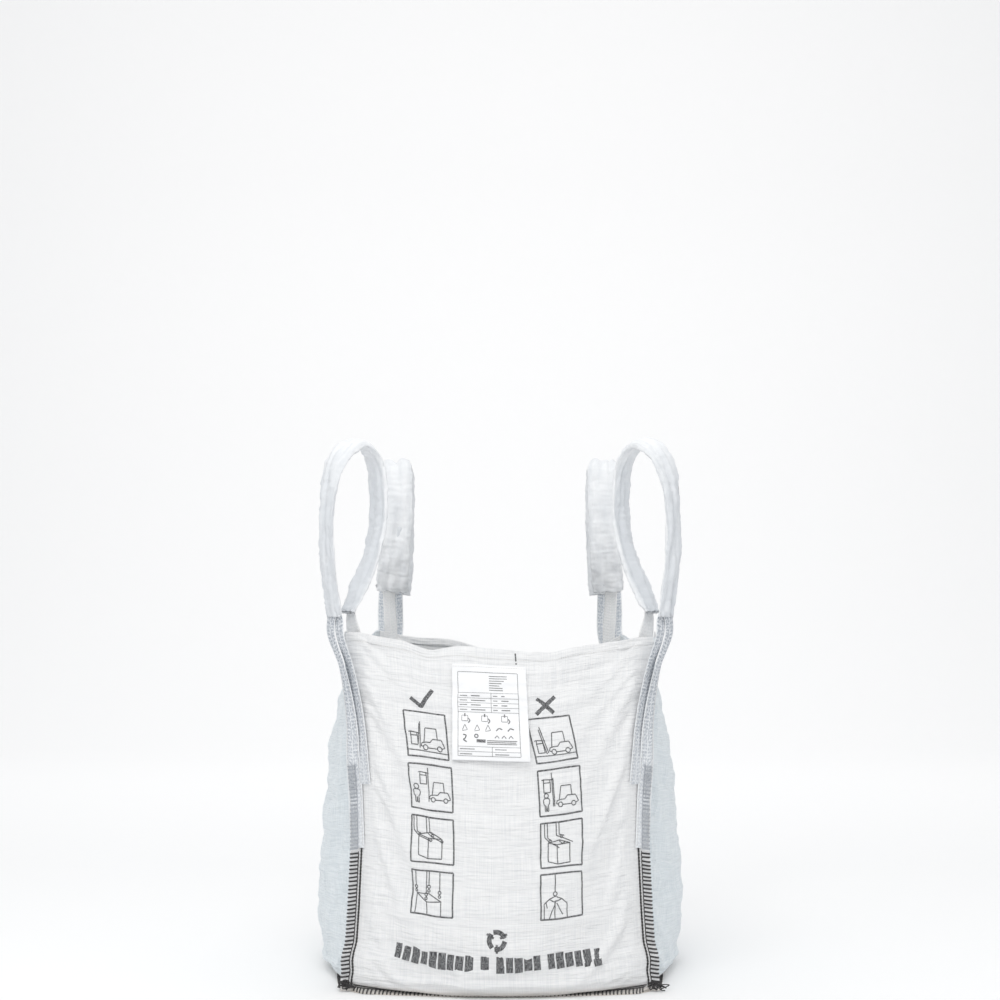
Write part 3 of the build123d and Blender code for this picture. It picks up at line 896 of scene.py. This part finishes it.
def band_mesh(path, across, columns=9):
    """Band of webbing along a path, with rounded edges: its points, faces and flat coordinates."""
    a = np.linspace(-0.5, 0.5, columns)
    top = band_thickness * (0.5 * np.sqrt(np.clip(1 - (np.abs(a) * 2) ** 10, 0, 1)) + 0.08)
    ring_a = np.concatenate([a, a[::-1]]) * band_width
    ring_b = np.concatenate([top, -top])
    along = tangents(path)
    across = unit(across - along * np.sum(across * along, 1, keepdims=True))
    face = np.cross(along, across)
    points = path[:, None] + across[:, None] * ring_a[None, :, None] + face[:, None] * ring_b[None, :, None]
    uv = np.stack(np.broadcast_arrays(ring_a[None, :], lengths(path)[:, None]), -1)
    count = len(ring_a)
    caps = [
        [first + k, first + k + 1, first + count - 2 - k, first + count - 1 - k]
        for first in (0, (len(path) - 1) * count)
        for k in range(columns - 1)
    ]
    faces = np.concatenate([grid_faces(len(path), count, True), np.array(caps)])
    return points.reshape(-1, 3), faces, uv.reshape(-1, 2)


class Loop:
    """A corner's lifting loop: where it folds, and the upright plane it stands in."""

    def __init__(self, name):
        self.body = f"loop_{name}"
        self.side, self.end = CORNERS[name]
        joint = next(j for j in frame["record"]["behaviour"]["joints"] if j["child"] == self.body)
        self.tip = np.array(joint["pos_m"])
        x, y, _ = joint["axis"]
        self.inward = np.array([-y, x, 0.0])
        if self.inward[1] * self.end > 0:
            self.inward = -self.inward
        across = np.array([-self.inward[1], self.inward[0], 0.0])
        self.across = across * np.sign(across[0] * self.side + across[1] * self.end * 0.2)

    def points(self, places):
        """Row-frame points for places given as inward, up from the fold, and across."""
        return self.tip + np.asarray(places, float) @ np.array([self.inward, [0, 0, 1], self.across])

    def beside(self, places):
        """Points near the corner, for places given as height, beyond it sideways and beyond it fore or aft."""
        found = []
        for z, out_x, out_y in places:
            half = float(half_at(z, self.end))
            found.append([self.side * (half + out_x), self.end * (half + out_y), z])
        return found


def twisted(path, keys, heights, toward):
    """Cross directions along a path, blended between directions at given heights, all turned one way."""
    keys = np.array([k if np.dot(k, toward) > 0 else -np.array(k) for k in keys])
    return unit(np.stack([np.interp(path[:, 2], heights, keys[:, i]) for i in range(3)], 1))


def sewn_band(loop, kind):
    """Path and cross directions of one band, from its sewn end up into the sleeve."""
    s, e = loop.side, loop.end
    way = 1 if kind == "a" else -1
    near_fold, layer = 0.0235 * way, -0.0022 * way
    if e < 0:
        top = [(0.0, -0.02, near_fold), (layer - 0.001, 0.022, near_fold * 0.75),
               (layer - 0.008, 0.060, near_fold * 0.16), (layer - 0.016, 0.110, near_fold * 0.08)]
    else:
        top = [(0.0, -0.02, near_fold), (0.0, 0.05, near_fold), (layer, 0.12, near_fold * 0.9),
               (layer - 0.002, 0.20, near_fold * 0.7)]
    if kind == "a":
        knots = loop.beside((
            (band_low_a, 0.012, 0.0078), (0.50, 0.0150, 0.0075), (0.60, 0.0165, 0.0075), (0.70, 0.0155, 0.0078),
            (0.78, 0.0120, 0.0090), (0.88, 0.0130, 0.0100), (0.97, 0.0190, 0.0120)))
        keys = [(s, -0.16 * e, 0), (s, -0.10 * e, 0), (s * 0.8, -0.6 * e, 0), (s * 0.5, -0.87 * e, 0)]
        if e > 0:
            knots[-1] = [s * 0.437, 0.457, 0.97]
            keys = [(s, -0.16, 0), (s, -0.1, 0), (s, -0.1, 0), (s, -0.05, 0)]
        heights = [band_low_a, 0.65, 0.80, 0.97, 1.09]
    else:
        knots = loop.beside((
            (band_low_b, -0.0160, 0.0185), (0.70, -0.0155, 0.0180), (0.78, -0.0140, 0.0175), (0.88, -0.0105, 0.0190),
            (0.97, -0.0050, 0.0230)))
        keys = [(s * 0.78, -0.62 * e, 0), (s * 0.74, -0.67 * e, 0), (s * 0.60, -0.8 * e, 0)]
        if e > 0:
            knots[-1] = [s * 0.392, 0.462, 0.97]
            keys = [(s * 0.78, -0.62, 0), (s * 0.9, -0.4, 0), (s, -0.2, 0)]
        heights = [band_low_b, 0.85, 0.98, 1.09]
    path = spline(np.concatenate([knots, loop.points(top)]), 150)
    return path, twisted(path, [*keys, loop.across], heights, (s, -e * 0.5, 0))


def inner_band(loop):
    """The loop's inner leg below its sleeve, going down inside the corner of the rim."""
    s, e = loop.side, loop.end
    if e < 0:
        low = [[s * 0.425, -0.430, 0.93], [s * 0.437, -0.441, 1.02], [s * 0.446, -0.446, 1.075]]
        top = [(0.060, 0.045, 0.004), (0.078, 0.085, 0.004), (0.10, 0.13, 0.002)]
        key = (s * 0.9, 0.45 * e, 0)
    else:
        low = [[s * 0.392, 0.438, 0.93], [s * 0.391, 0.440, 1.02], [s * 0.392, 0.434, 1.08]]
        top = [(0.052, 0.07, 0.0), (0.085, 0.13, 0.0), (0.11, 0.19, 0.0)]
        key = (s, 0.02, 0)
    path = spline(np.concatenate([low, loop.points(top)]), 70)
    return path, twisted(path, [key, loop.across], [1.0, 1.13], (s, 0, 0))


def band_stitches(threads, path, across, low, high):
    """Two rows of stitches on the outer face of a band, between two heights."""
    outward = np.cross(tangents(path), across)
    middle = path.mean(0) * [1, 1, 0]
    outward *= np.sign(np.sum(outward * unit(middle), 1, keepdims=True))
    along = lengths(path)
    first, last = np.interp([low, high], path[:, 2], along)
    for offset in (-0.0165, 0.0165):
        for s in np.arange(first, last, band_pitch):
            stitch = []
            for ahead, lift in ((0.0, -0.0003), (0.001, 0.0007), (0.0045, 0.0007), (0.0055, -0.0003)):
                place, side, out = (at_length(s + ahead, along, line) for line in (path, across, outward))
                stitch.append(place + side * offset + out * (band_thickness / 2 + lift))
            threads.add(stitch, 0.0006)


# the middle of each loop's sleeve: inward, up, across, width, fullness and turn in degrees
FRONT_SLEEVE = [
    (-0.004, 0.030, 0, 0.075, 0.016, 0), (-0.010, 0.072, 0, 0.062, 0.026, 4), (-0.023, 0.143, 0, 0.062, 0.024, 6),
    (-0.034, 0.232, 0, 0.064, 0.022, 4), (-0.034, 0.330, 0, 0.068, 0.020, 0), (-0.026, 0.420, 0, 0.078, 0.020, 4),
    (-0.005, 0.490, 0, 0.086, 0.022, 12), (0.034, 0.541, 0, 0.086, 0.026, 20), (0.084, 0.561, 0, 0.080, 0.028, 16),
    (0.125, 0.537, 0, 0.080, 0.026, 6), (0.149, 0.482, 0, 0.086, 0.022, 0), (0.158, 0.400, 0, 0.094, 0.020, 4),
    (0.156, 0.320, 0, 0.104, 0.020, 8), (0.143, 0.255, 0, 0.112, 0.020, 10), (0.119, 0.190, 0, 0.110, 0.020, 6),
    (0.092, 0.135, 0, 0.100, 0.020, 0), (0.065, 0.082, 0, 0.086, 0.020, 0), (0.043, 0.044, 0, 0.074, 0.014, 0),
]
REAR_SLEEVE = [
    (0, 0.116, -0.018, 0.112, 0.016, 0), (0, 0.170, -0.024, 0.110, 0.020, 2), (-0.002, 0.260, -0.028, 0.108, 0.022, -3),
    (0, 0.370, -0.030, 0.110, 0.020, 3), (0.006, 0.470, -0.030, 0.112, 0.018, 0),
    (0.028, 0.552, -0.028, 0.108, 0.018, 0), (0.075, 0.588, -0.024, 0.092, 0.020, 0),
    (0.124, 0.556, -0.028, 0.108, 0.018, 0), (0.148, 0.490, -0.029, 0.112, 0.016, 2),
    (0.158, 0.400, -0.029, 0.112, 0.018, -2), (0.160, 0.310, -0.026, 0.110, 0.018, 3),
    (0.148, 0.235, -0.022, 0.110, 0.018, 0), (0.118, 0.170, -0.016, 0.112, 0.018, -2),
    (0.092, 0.124, -0.012, 0.112, 0.014, 0),
]


def closed(relief):
    """Relief twice as wide as a sleeve, its halves faded into one another so that it closes round the sleeve."""
    near, far = np.hsplit(relief, 2)
    fade = np.linspace(1, 0, near.shape[1])
    return near * fade + far * fade[::-1]


def sleeve_mesh(loop, seed):
    """The gathered sleeve round a loop, rows along it and points round it, with its flat coordinates."""
    track = spline(FRONT_SLEEVE if loop.end < 0 else REAR_SLEEVE, 250)
    path = loop.points(track[:, :3])
    across = carried(path, loop.across)
    face = np.cross(tangents(path), across)
    inside = np.sign(np.sum(face * (loop.points([(0.065, 0.30, 0.0)]) - path)))
    width, full, turn = track[:, 3:4], track[:, 4:5], np.radians(track[:, 5:]) * -inside
    across = across * np.cos(turn) + face * np.sin(turn)
    face = np.cross(tangents(path), across)
    count = 64
    angle = np.linspace(0, 2 * math.pi, count, endpoint=False)[None, :]
    along = lengths(path)[:, None]
    a = np.sign(np.cos(angle)) * np.abs(np.cos(angle)) ** 0.82
    b = np.sign(np.sin(angle)) * np.abs(np.sin(angle)) ** 0.9
    groove = np.where(b * inside > 0, -0.38 + 0.16 * np.sin(along * 9 + seed), 0.12 + 0.3 * np.sin(along * 7 + seed))
    lobes = 1 - 0.95 * hump(a, groove, 0.15) * (0.75 + 0.25 * np.sin(along * 17 + seed))
    gather = hump(np.minimum(along, along[-1] - along), 0.0, 0.022)
    pleats = np.sin(angle * 9 + seed + 3 * np.sin(along * 30)) * (0.0006 + 0.0022 * gather)
    folds = 0.0024 * np.sin(a * 6.5 + 1.6 * np.sin(along * 8.5 + seed) + seed)
    folds += 0.0022 * np.sin(a * 3.6 - along * 26 + 2 * np.sin(along * 11 + seed))
    rough = closed(ribbed(len(path), count * 2, 0.0012, 0.005, 0.0035, 0.035, 0.05, seed))
    rough += closed(ribbed(len(path), count * 2, 0.0009, 0.005, 0.0035, 0.03, 0.014, seed + 5))
    crest = 0.0030 * hump(a, 0.25 * np.sin(along * 6 + seed), 0.07) * (b > 0)
    reach_a = a * width / 2 * (1 - 0.05 * gather) + rough * np.sign(a) * np.abs(a) ** 4 * 1.2
    reach_b = b * full / 2 * lobes + pleats * b
    reach_b += np.sign(b) * np.abs(b) ** 0.5 * (folds * (1 - gather) + rough + crest)
    points = path[:, None] + across[:, None] * reach_a[..., None] + face[:, None] * reach_b[..., None]
    tucked = path[[0, -1], None] * 0.34 + points[[0, -1]] * 0.66
    tucked += tangents(path)[[0, -1], None] * np.array([0.006, -0.006])[:, None, None]
    rows = np.concatenate([tucked[:1], points, tucked[1:]])
    u = np.mod(angle * inside, 2 * math.pi) / math.pi * sleeve_flat
    v = np.concatenate([[[-0.01]], along, along[-1:] + 0.01])
    return rows, np.stack(np.broadcast_arrays(u, v), -1)


for index, name in enumerate(CORNERS):
    loop = Loop(name)
    front = loop.end < 0
    bands, stitches = [], Threads(4)
    for kind, low in (("a", band_low_a), ("b", band_low_b)):
        path, across = sewn_band(loop, kind)
        bands.append(band_mesh(path, across))
        band_stitches(stitches, path, across, low + 0.006, 0.95)
    points, faces, uv = merged(bands)
    # the rear loops' straps take the webbing copy with painted light
    piece = make_piece(f"straps_{name}", points, faces, front_webbing if front else lit_rear_webbing, uv)
    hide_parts(f"strap_{name}", f"webbing_{name}")
    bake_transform(piece)
    points, faces, uv = band_mesh(*inner_band(loop))
    piece = make_piece(f"inner_strap_{name}", points, faces, plain_webbing, uv)
    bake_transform(piece)
    seam_piece(stitches, f"strap_stitch_thread_{name}", white_thread, f"strap_stitch_{name}")
    rows, uv = sleeve_mesh(loop, 500 + index * 17)
    piece = make_piece(f"sleeve_cloth_{name}", rows, grid_faces(*rows.shape[:2], True), sleeve_cloth, uv)
    thicken(piece, 0.0008)
    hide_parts(f"sleeve_{name}")
    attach(piece, loop.body)

# ---------------------------------------------------------------- printing on the front


def ring(x, y, radius, squash=1.0, count=18):
    """Closed circle as a line."""
    return [(x + radius * math.cos(a), y + radius * squash * math.sin(a)) for a in np.linspace(0, 2 * math.pi, count)]


def box_line(x0, y0, x1, y1):
    """Closed upright box as a line."""
    return [(x0, y0), (x1, y0), (x1, y1), (x0, y1), (x0, y0)]


def placed(lines, x, y, size):
    """Lines drawn at a place and size."""
    return [[(x + a * size, y + b * size) for a, b in line] for line in lines]


def truck(x, y, size):
    """Side view of a plain lift truck, mast to the left."""
    return placed((
        [(0.13, 0.20), (0.24, 0.74), (0.68, 0.74), (0.70, 0.34)],
        [(0.10, 0.02), (0.0, 0.04), (0.04, 0.16), (0.22, 0.20), (0.38, 0.20), (0.50, 0.34), (0.86, 0.34), (0.98, 0.06),
         (0.86, 0.02)],
        [(0.28, -0.01), (0.66, -0.01)],
        ring(0.18, 0, 0.095), ring(0.76, 0, 0.095),
    ), x, y, size)


def hanging_bag(x0, y0, x1, y1):
    """Small bag on two fork tips, seen from the side."""
    top = y1 - (y1 - y0) * 0.24
    return [box_line(x0, y0, x1, top), [(x0 - 0.03, y1), (x0 + 0.01, y1 + 0.01), (x1 + 0.05, y1 - 0.01)],
            [(x0, top), (x0 + 0.01, y1)], [(x1, top), (x1 - 0.01, y1)]]


def worker(x, y, size):
    """Standing figure in a few strokes."""
    return placed((
        ring(0, 0.88, 0.13),
        [(-0.20, 0.62), (-0.13, 0.73), (0.13, 0.73), (0.20, 0.60), (0.16, 0.40)],
        [(-0.20, 0.62), (-0.17, 0.38), (-0.10, 0.34), (-0.10, 0), (-0.02, 0), (0, 0.30), (0.04, 0), (0.12, 0),
         (0.10, 0.36)],
    ), x, y, size)


def carton(x, y, size, lid=0.26):
    """Filled bag drawn as a box from one corner."""
    return placed((
        [(0, 0.95), (0, 0.13), (0.42, 0), (1, 0.03), (1, 0.85)],
        [(0.42, 0), (0.42, 0.82)],
        [(0, 0.95), (0.42, 0.82), (1, 0.85), (0.52, 0.82 + lid), (0, 0.95)],
    ), x, y, size)


def hook(x, y):
    """Crane hook with its chain, over a loop of the bag."""
    return [[(x, 1.0), (x, y + 0.12)], ring(x, y + 0.09, 0.036), ring(x, y, 0.030), [(x, y + 0.05), (x, y + 0.03)]]


def rings(radius, *places):
    """Circles of one size."""
    return [ring(x, y, radius) for x, y in places]


# line drawings inside a square from 0 to 1: four ways to handle the bag, and four ways not to
RIGHT_WAYS = (
    # carried low
    truck(0.34, 0.22, 0.60) + hanging_bag(0.11, 0.26, 0.27, 0.53) + [
        [(0.31, 0.20), (0.37, 0.78)], [(0.27, 0.27), (0.345, 0.74)], [(0.0, 0.14), (1.0, 0.12)]],
    # carried high
    truck(0.44, 0.24, 0.52) + hanging_bag(0.25, 0.57, 0.40, 0.82) + [
        [(0.43, 0.20), (0.44, 0.92)]] + worker(0.15, 0.14, 0.42),
    # two forks through the loops
    carton(0.18, 0.08, 0.54) + [
        [(0.05, 1.0), (0.06, 0.68), (0.18, 0.56), (0.46, 0.47)], [(0.12, 1.0), (0.13, 0.66), (0.22, 0.60)],
        [(0.35, 1.0), (0.36, 0.66), (0.47, 0.57), (0.74, 0.47)], [(0.42, 1.0), (0.43, 0.66), (0.50, 0.62)],
    ] + rings(0.028, (0.20, 0.60), (0.46, 0.49), (0.50, 0.60), (0.72, 0.49)),
    # four hooks
    [[(0.10, 0.0), (0.11, 0.46), (0.38, 0.30), (0.39, 0.0)], [(0.38, 0.30), (0.72, 0.33), (0.72, 0.0)],
     [(0.11, 0.46), (0.42, 0.50), (0.72, 0.33)],
     *hook(0.10, 0.52), *hook(0.42, 0.56), *hook(0.36, 0.38), *hook(0.68, 0.44)],
)
WRONG_WAYS = (
    # mast tilted, braking hard
    truck(0.36, 0.22, 0.58) + hanging_bag(0.10, 0.22, 0.25, 0.50) + [
        [(0.24, 0.80), (0.33, 0.22)], [(0.21, 0.74), (0.29, 0.20)], [(0.03, 0.15), (1.0, 0.14)]],
    # standing under the load
    truck(0.40, 0.22, 0.54) + hanging_bag(0.12, 0.50, 0.28, 0.78) + [
        [(0.33, 0.20), (0.32, 0.92)], [(0.36, 0.20), (0.35, 0.80)]] + worker(0.17, 0.10, 0.38),
    # loops crossed over the forks
    carton(0.18, 0.06, 0.52, 0.2) + [
        [(0.09, 1.0), (0.10, 0.68), (0.20, 0.58), (0.44, 0.42)], [(0.16, 1.0), (0.17, 0.66), (0.26, 0.60)],
        [(0.37, 1.0), (0.38, 0.70), (0.52, 0.64), (0.76, 0.52)], [(0.44, 1.0), (0.45, 0.72), (0.56, 0.68)],
        [(0.44, 0.58), (0.52, 0.50), (0.60, 0.54)]] + rings(0.028, (0.22, 0.58), (0.50, 0.66)),
    # all loops on one hook
    [[(0.34, 1.0), (0.34, 0.60)], ring(0.34, 0.555, 0.045),
     [(0.08, 0.0), (0.07, 0.34), (0.20, 0.44), (0.34, 0.50), (0.50, 0.44), (0.62, 0.34), (0.63, 0.0)],
     [(0.20, 0.44), (0.30, 0.38), (0.42, 0.40), (0.50, 0.44)], [(0.36, 0.40), (0.26, 0.16), (0.20, 0.0)],
     [(0.33, 0.36), (0.34, 0.0)], [(0.38, 0.34), (0.52, 0.10)], [(0.12, 0.36), (0.14, 0.26)]],
)


class Ink:
    """Flat strokes laid on a surface, gathered into one mesh; scale turns flat units into metres."""

    def __init__(self, locate, scale, lift, step):
        self.locate, self.scale, self.lift, self.step, self.parts = locate, scale, lift, step, []

    def stroke(self, line, width):
        flat = resample(np.asarray(line, float) * self.scale, self.step) / self.scale
        points, normal = self.locate(flat, self.lift)
        along = tangents(points)
        if np.linalg.norm(points[0] - points[-1]) < 1e-6:
            along[0] = along[-1] = unit(points[1] - points[-2])
        else:
            points[0] -= along[0] * width * 0.45
            points[-1] += along[-1] * width * 0.45
        across = unit(np.cross(normal, along)) * width / 2
        sides = np.stack([points - across, points + across], 1)
        uv = np.stack([flat * self.scale - [width / 2, 0], flat * self.scale + [width / 2, 0]], 1)
        self.parts.append((sides.reshape(-1, 3), grid_faces(len(points), 2), uv.reshape(-1, 2)))

    def build(self, name, material, body):
        points, faces, uv = merged(self.parts)
        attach(make_piece(name, points, faces, material, uv), body)


def on_front(flat, lift):
    """Place on the front wall: share of its half width, and thread height."""
    return surfaces["front"].at(flat[:, 0], flat[:, 1], lift)


front_scale = np.array([0.463, 1.0])
front_ink = Ink(on_front, front_scale, 0.0006, 0.0028)
# each drawing's left and right, foot and top, and how much it leans
LEFT_COLUMN = (((-0.632, -0.348), (0.722, 0.855), -0.022), ((-0.627, -0.327), (0.567, 0.700), -0.004),
               ((-0.623, -0.325), (0.412, 0.545), 0.0), ((-0.619, -0.325), (0.259, 0.388), 0.0))
RIGHT_COLUMN = (((0.252, 0.538), (0.717, 0.852), -0.075), ((0.282, 0.576), (0.557, 0.694), -0.024),
                ((0.285, 0.578), (0.404, 0.536), 0.0), ((0.280, 0.572), (0.254, 0.385), 0.0))
for ((left, right), (low, high), lean), drawing in zip(LEFT_COLUMN + RIGHT_COLUMN, RIGHT_WAYS + WRONG_WAYS):
    for line, width in [(box_line(0, 0, 1, 1), 0.0046), *((line, 0.0029) for line in drawing)]:
        front_ink.stroke([(left + (right - left) * a + lean * b, low + (high - low) * b) for a, b in line], width)

# a tick over the first column and a cross over the second
front_ink.stroke([(-0.585, 0.892), (-0.530, 0.872), (-0.452, 0.925)], 0.013)
front_ink.stroke([(0.250, 0.868), (0.350, 0.912)], 0.012)
front_ink.stroke([(0.250, 0.912), (0.350, 0.868)], 0.012)


def round_ring(angle, out=0.0):
    """Place on the ring of arrows, or so far beyond it."""
    return (-0.021 + (0.052 + out / front_scale[0]) * math.cos(angle), 0.199 + (0.0245 + out) * math.sin(angle))


# three arrows chasing one another in a ring: each a bent bar with a head of three shortening strokes
for k in range(3):
    first = math.radians(100 - 120 * k)
    front_ink.stroke([round_ring(a) for a in np.linspace(first, first - 1.25, 9)], 0.014)
    for reach in (0.0, 0.27, 0.45):
        angle = first - 1.22 - 0.333 * reach
        front_ink.stroke([round_ring(angle, out * 0.0095 * (1 - reach / 0.5)) for out in (-1, 0, 1)], 0.0065)

# a row of plain blocks where the real bag has a sentence
block = -0.728
for group in (9, 1, 5, 6):
    for k in range(group):
        z = 0.1275 + 0.014 * ramp(-block, 0.42, 0.72) ** 1.5
        wide = 0.052 if (k * 7 + group) % 3 else 0.044
        tall = 0.0135 if (k + group) % 4 else 0.010
        front_ink.stroke([(block + wide / 2, z - tall), (block + wide / 2, z + tall)], wide * front_scale[0])
        block += wide + 0.013
    block += 0.040

# the inspection mark at the rim
front_ink.stroke([(0.098, 1.062), (0.101, 1.042)], 0.0042)
front_ink.stroke([(0.103, 1.033), (0.1035, 1.032)], 0.0045)
front_ink.build("front_print", ink, "bag")

# ---------------------------------------------------------------- label

label_low, label_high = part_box("label")
label_size = np.array([label_high[0] - label_low[0], label_high[2] - label_low[2]])


def label_grid(rows=111, columns=91):
    """The hanging label: sewn along its top, following the wall, kicked out a little at its foot."""
    u = np.linspace(0, 1, columns)[None, :]
    v = np.linspace(0, 1, rows)[:, None]
    x = label_low[0] + label_size[0] * 0.955 * u + 0.014 * (v - 0.15) * np.clip(u, 0.2, 1)
    z = label_high[2] - label_size[1] * v - 0.006 * (u - 0.5)
    t = x / half_at(z, -1)
    place, _ = surfaces["front"].at(t.ravel(), (z + cloth_drop("front", t, z)).ravel())
    place = place.reshape(*z.shape, 3)
    soft = (1 - np.cos(v * math.pi)) / 2
    off = 0.0016 + 0.004 * np.sin(v * math.pi) ** 0.6 + 0.010 * soft**3 + 0.006 * soft**4 * np.abs(u - 0.35) ** 1.5
    off = off + 0.0070 * np.sin(v * 9.0 + u * 1.3) * v * (1 - v)
    off = off + 0.0022 * (ridge(v - 0.02 * u, 0.33, 0.012) + ridge(v + 0.03 * u, 0.60, 0.010))
    off = off + ribbed(rows, columns, 0.0005, 0.0026, 0.0026, 0.07, 0.05, 71) * (v > 0.06)
    smooth = place.copy()
    for _ in range(10):
        smooth[1:-1] = (smooth[:-2] + smooth[2:]) / 2
        smooth[:, 1:-1] = (smooth[:, :-2] + smooth[:, 2:]) / 2
    smooth[..., 1] = np.minimum(smooth[..., 1], place[..., 1]) - off
    return smooth


label_points = label_grid()
label_rows, label_columns = label_points.shape[:2]
label_uv = np.stack(
    np.meshgrid(np.linspace(0, label_size[0], label_columns), np.linspace(0, label_size[1], label_rows)), -1
)
label_faces = grid_faces(label_rows, label_columns)
label_piece = make_piece("label_flap_sheet", label_points[::-1], label_faces, label_stock, label_uv)
thicken(label_piece, 0.0005)
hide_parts("label")
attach(label_piece, "label_flap")
label_normals = grid_normals(label_points)
label_normals *= -np.sign(label_normals[..., 1:2])


def on_label(flat, lift):
    """Place on the label: across and down, both from 0 to 1."""
    i, j = flat[:, 1] * (label_rows - 1), flat[:, 0] * (label_columns - 1)
    normal = unit(pick(label_normals, i, j))
    return pick(label_points, i, j) + normal * lift, normal


dark = Ink(on_label, label_size, 0.0005, 0.003)
faint = Ink(on_label, label_size, 0.0005, 0.003)


def row(part, x0, x1, y, width):
    """Level stroke across the label."""
    part.stroke([(x0, y), (x1, y)], width)


# a frame with ruled lines and two dividing strokes
left, right, middle = 0.08, 0.88, 0.52
dark.stroke(box_line(left, 0.085, right, 0.955), 0.0013)
for y in (0.305, 0.36, 0.41, 0.46, 0.51, 0.86, 0.91):
    row(faint, left, right, y, 0.0010)
for y0, y1 in ((0.305, 0.51), (0.86, 0.955)):
    dark.stroke([(middle, y0), (middle, y1)], 0.0012)

# bars where the real label has words and numbers
bars = np.random.default_rng(5)
for k in range(7):
    row(faint, 0.50, 0.60 + bars.uniform(0.02, 0.16), 0.125 + k * 0.025, 0.0020)
for y in (0.335, 0.385, 0.435, 0.485):
    row(faint, 0.11, 0.20, y, 0.0020)
    row(dark, 0.26, 0.34 + bars.uniform(0.02, 0.10), y, 0.0024)
    row(faint, 0.55, 0.60, y, 0.0020)
    row(dark, 0.66, 0.67 + bars.uniform(0.02, 0.10), y, 0.0026)
for x, y in ((0.11, 0.885), (0.56, 0.885), (0.11, 0.935), (0.56, 0.935)):
    row(faint, x, x + bars.uniform(0.10, 0.20), y, 0.0022)

# boxes with arrows, triangles and simple marks
for x in (0.18, 0.44, 0.70):
    faint.stroke(box_line(x - 0.05, 0.545, x + 0.03, 0.60), 0.0014)
    dark.stroke([(x - 0.01, 0.53), (x - 0.01, 0.55)], 0.0036)
    dark.stroke([(x + 0.04, 0.575), (x + 0.06, 0.595), (x + 0.04, 0.615)], 0.0032)
for x in (0.17, 0.33, 0.47):
    dark.stroke([(x - 0.03, 0.69), (x, 0.635), (x + 0.035, 0.69), (x - 0.03, 0.70)], 0.0016)
for x in (0.62, 0.77):
    dark.stroke([(x - 0.04, 0.69), (x - 0.01, 0.665), (x + 0.03, 0.675)], 0.0030)
dark.stroke([(0.155, 0.74), (0.19, 0.745), (0.18, 0.775), (0.15, 0.79), (0.19, 0.81)], 0.0036)
dark.stroke(ring(0.32, 0.75, 0.022, 0.8), 0.0034)
row(dark, 0.34, 0.42, 0.80, 0.0090)
for y in (0.795, 0.812, 0.829):
    row(faint, 0.46, 0.84 - 0.03 * bars.random(), y, 0.0022)
for x in (0.56, 0.65, 0.74):
    faint.stroke([(x, 0.765), (x + 0.025, 0.74), (x + 0.05, 0.765)], 0.0022)
dark.build("label_print", label_ink, "label_flap")
faint.build("label_print_faint", label_ink, "label_flap")

label_thread = Threads(4)
for a in 0.012 + np.arange(int(label_size[0] / band_pitch)) * band_pitch / label_size[0]:
    if a < 0.968:
        spots, normals = on_label(np.array([(a + ahead, 0.027) for ahead in (0.0, 0.005, 0.019, 0.023)]), 0.0)
        label_thread.add(spots + normals * np.array([[-0.0003], [0.0008], [0.0008], [-0.0003]]), 0.0006)
piece = label_thread.build("label_stitch_thread", white_thread)
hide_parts("label_stitch")
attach(piece, "label_flap")

# ---------------------------------------------------------------- studio and camera

camera_data = bpy.data.cameras.new("camera")
camera = bpy.data.objects.new("camera", camera_data)
scene.collection.objects.link(camera)
camera_data.sensor_width = 36.0
camera_data.lens = 57.07
camera_data.clip_end = 60.0
camera.location = (0.0, -5.278, 1.10)
camera.rotation_euler = (math.radians(90 + 4.40), 0.0, 0.0)
scene.camera = camera


def studio_surface(name, colour, roughness):
    """Matt studio surface with a faint mottle."""
    n = Nodes(name, colour, roughness)
    coordinates = n.tree.nodes.new("ShaderNodeTexCoord")
    mottle = n.tree.nodes.new("ShaderNodeTexNoise")
    mottle.inputs["Scale"].default_value = 3.0
    n.link(coordinates.outputs["Object"], mottle.inputs["Vector"])
    n.paint(n.mix(n.times(mottle.outputs[0], 0.3), colour, tuple(c * 0.985 for c in colour)))
    return n.material


def sweep():
    """Floor that curves up into a backdrop a long way behind."""
    turn = np.linspace(0.1, math.pi / 2, 16)
    y = np.concatenate([np.linspace(-14, 8, 12), 8 + 4 * np.sin(turn), [12, 12]])
    z = np.concatenate([np.zeros(12), 4 - 4 * np.cos(turn), [8, 14]])
    points = np.stack(np.broadcast_arrays(np.array([-16, 16]), y[:, None], z[:, None]), -1)
    return make_piece("studio_floor", points, grid_faces(len(y), 2), studio_surface("studio", (0.97, 0.97, 0.97), 0.9))


floor = sweep()


def softbox(name, place, aim, size, power, colour=(1, 1, 1)):
    """Large soft light aimed at a point."""
    data = bpy.data.lights.new(name, "AREA")
    data.shape = "RECTANGLE"
    data.size, data.size_y = size
    data.energy = power
    data.color = colour
    o = bpy.data.objects.new(name, data)
    o.location = place
    o.rotation_euler = (Vector(aim) - Vector(place)).to_track_quat("-Z", "Y").to_euler()
    scene.collection.objects.link(o)


softbox("key", (-0.5, -3.3, 4.3), (0, 0, 0.6), (3.0, 2.4), 74, (1.0, 0.985, 0.96))
softbox("overhead", (0, 3.6, 6.0), (0, 3.6, 0), (9.0, 8.0), 80)
softbox("backdrop", (0, 4.5, 7.5), (0, 12, 5.0), (12.0, 4.0), 150, (1.0, 0.97, 0.95))
world = bpy.data.worlds.new("studio_air")
scene.world = world
world.use_nodes = True
air = world.node_tree.nodes["Background"]
air.inputs["Color"].default_value = (0.975, 0.987, 1.0, 1)
air.inputs["Strength"].default_value = 0.78
scene.view_settings.view_transform = "Standard"
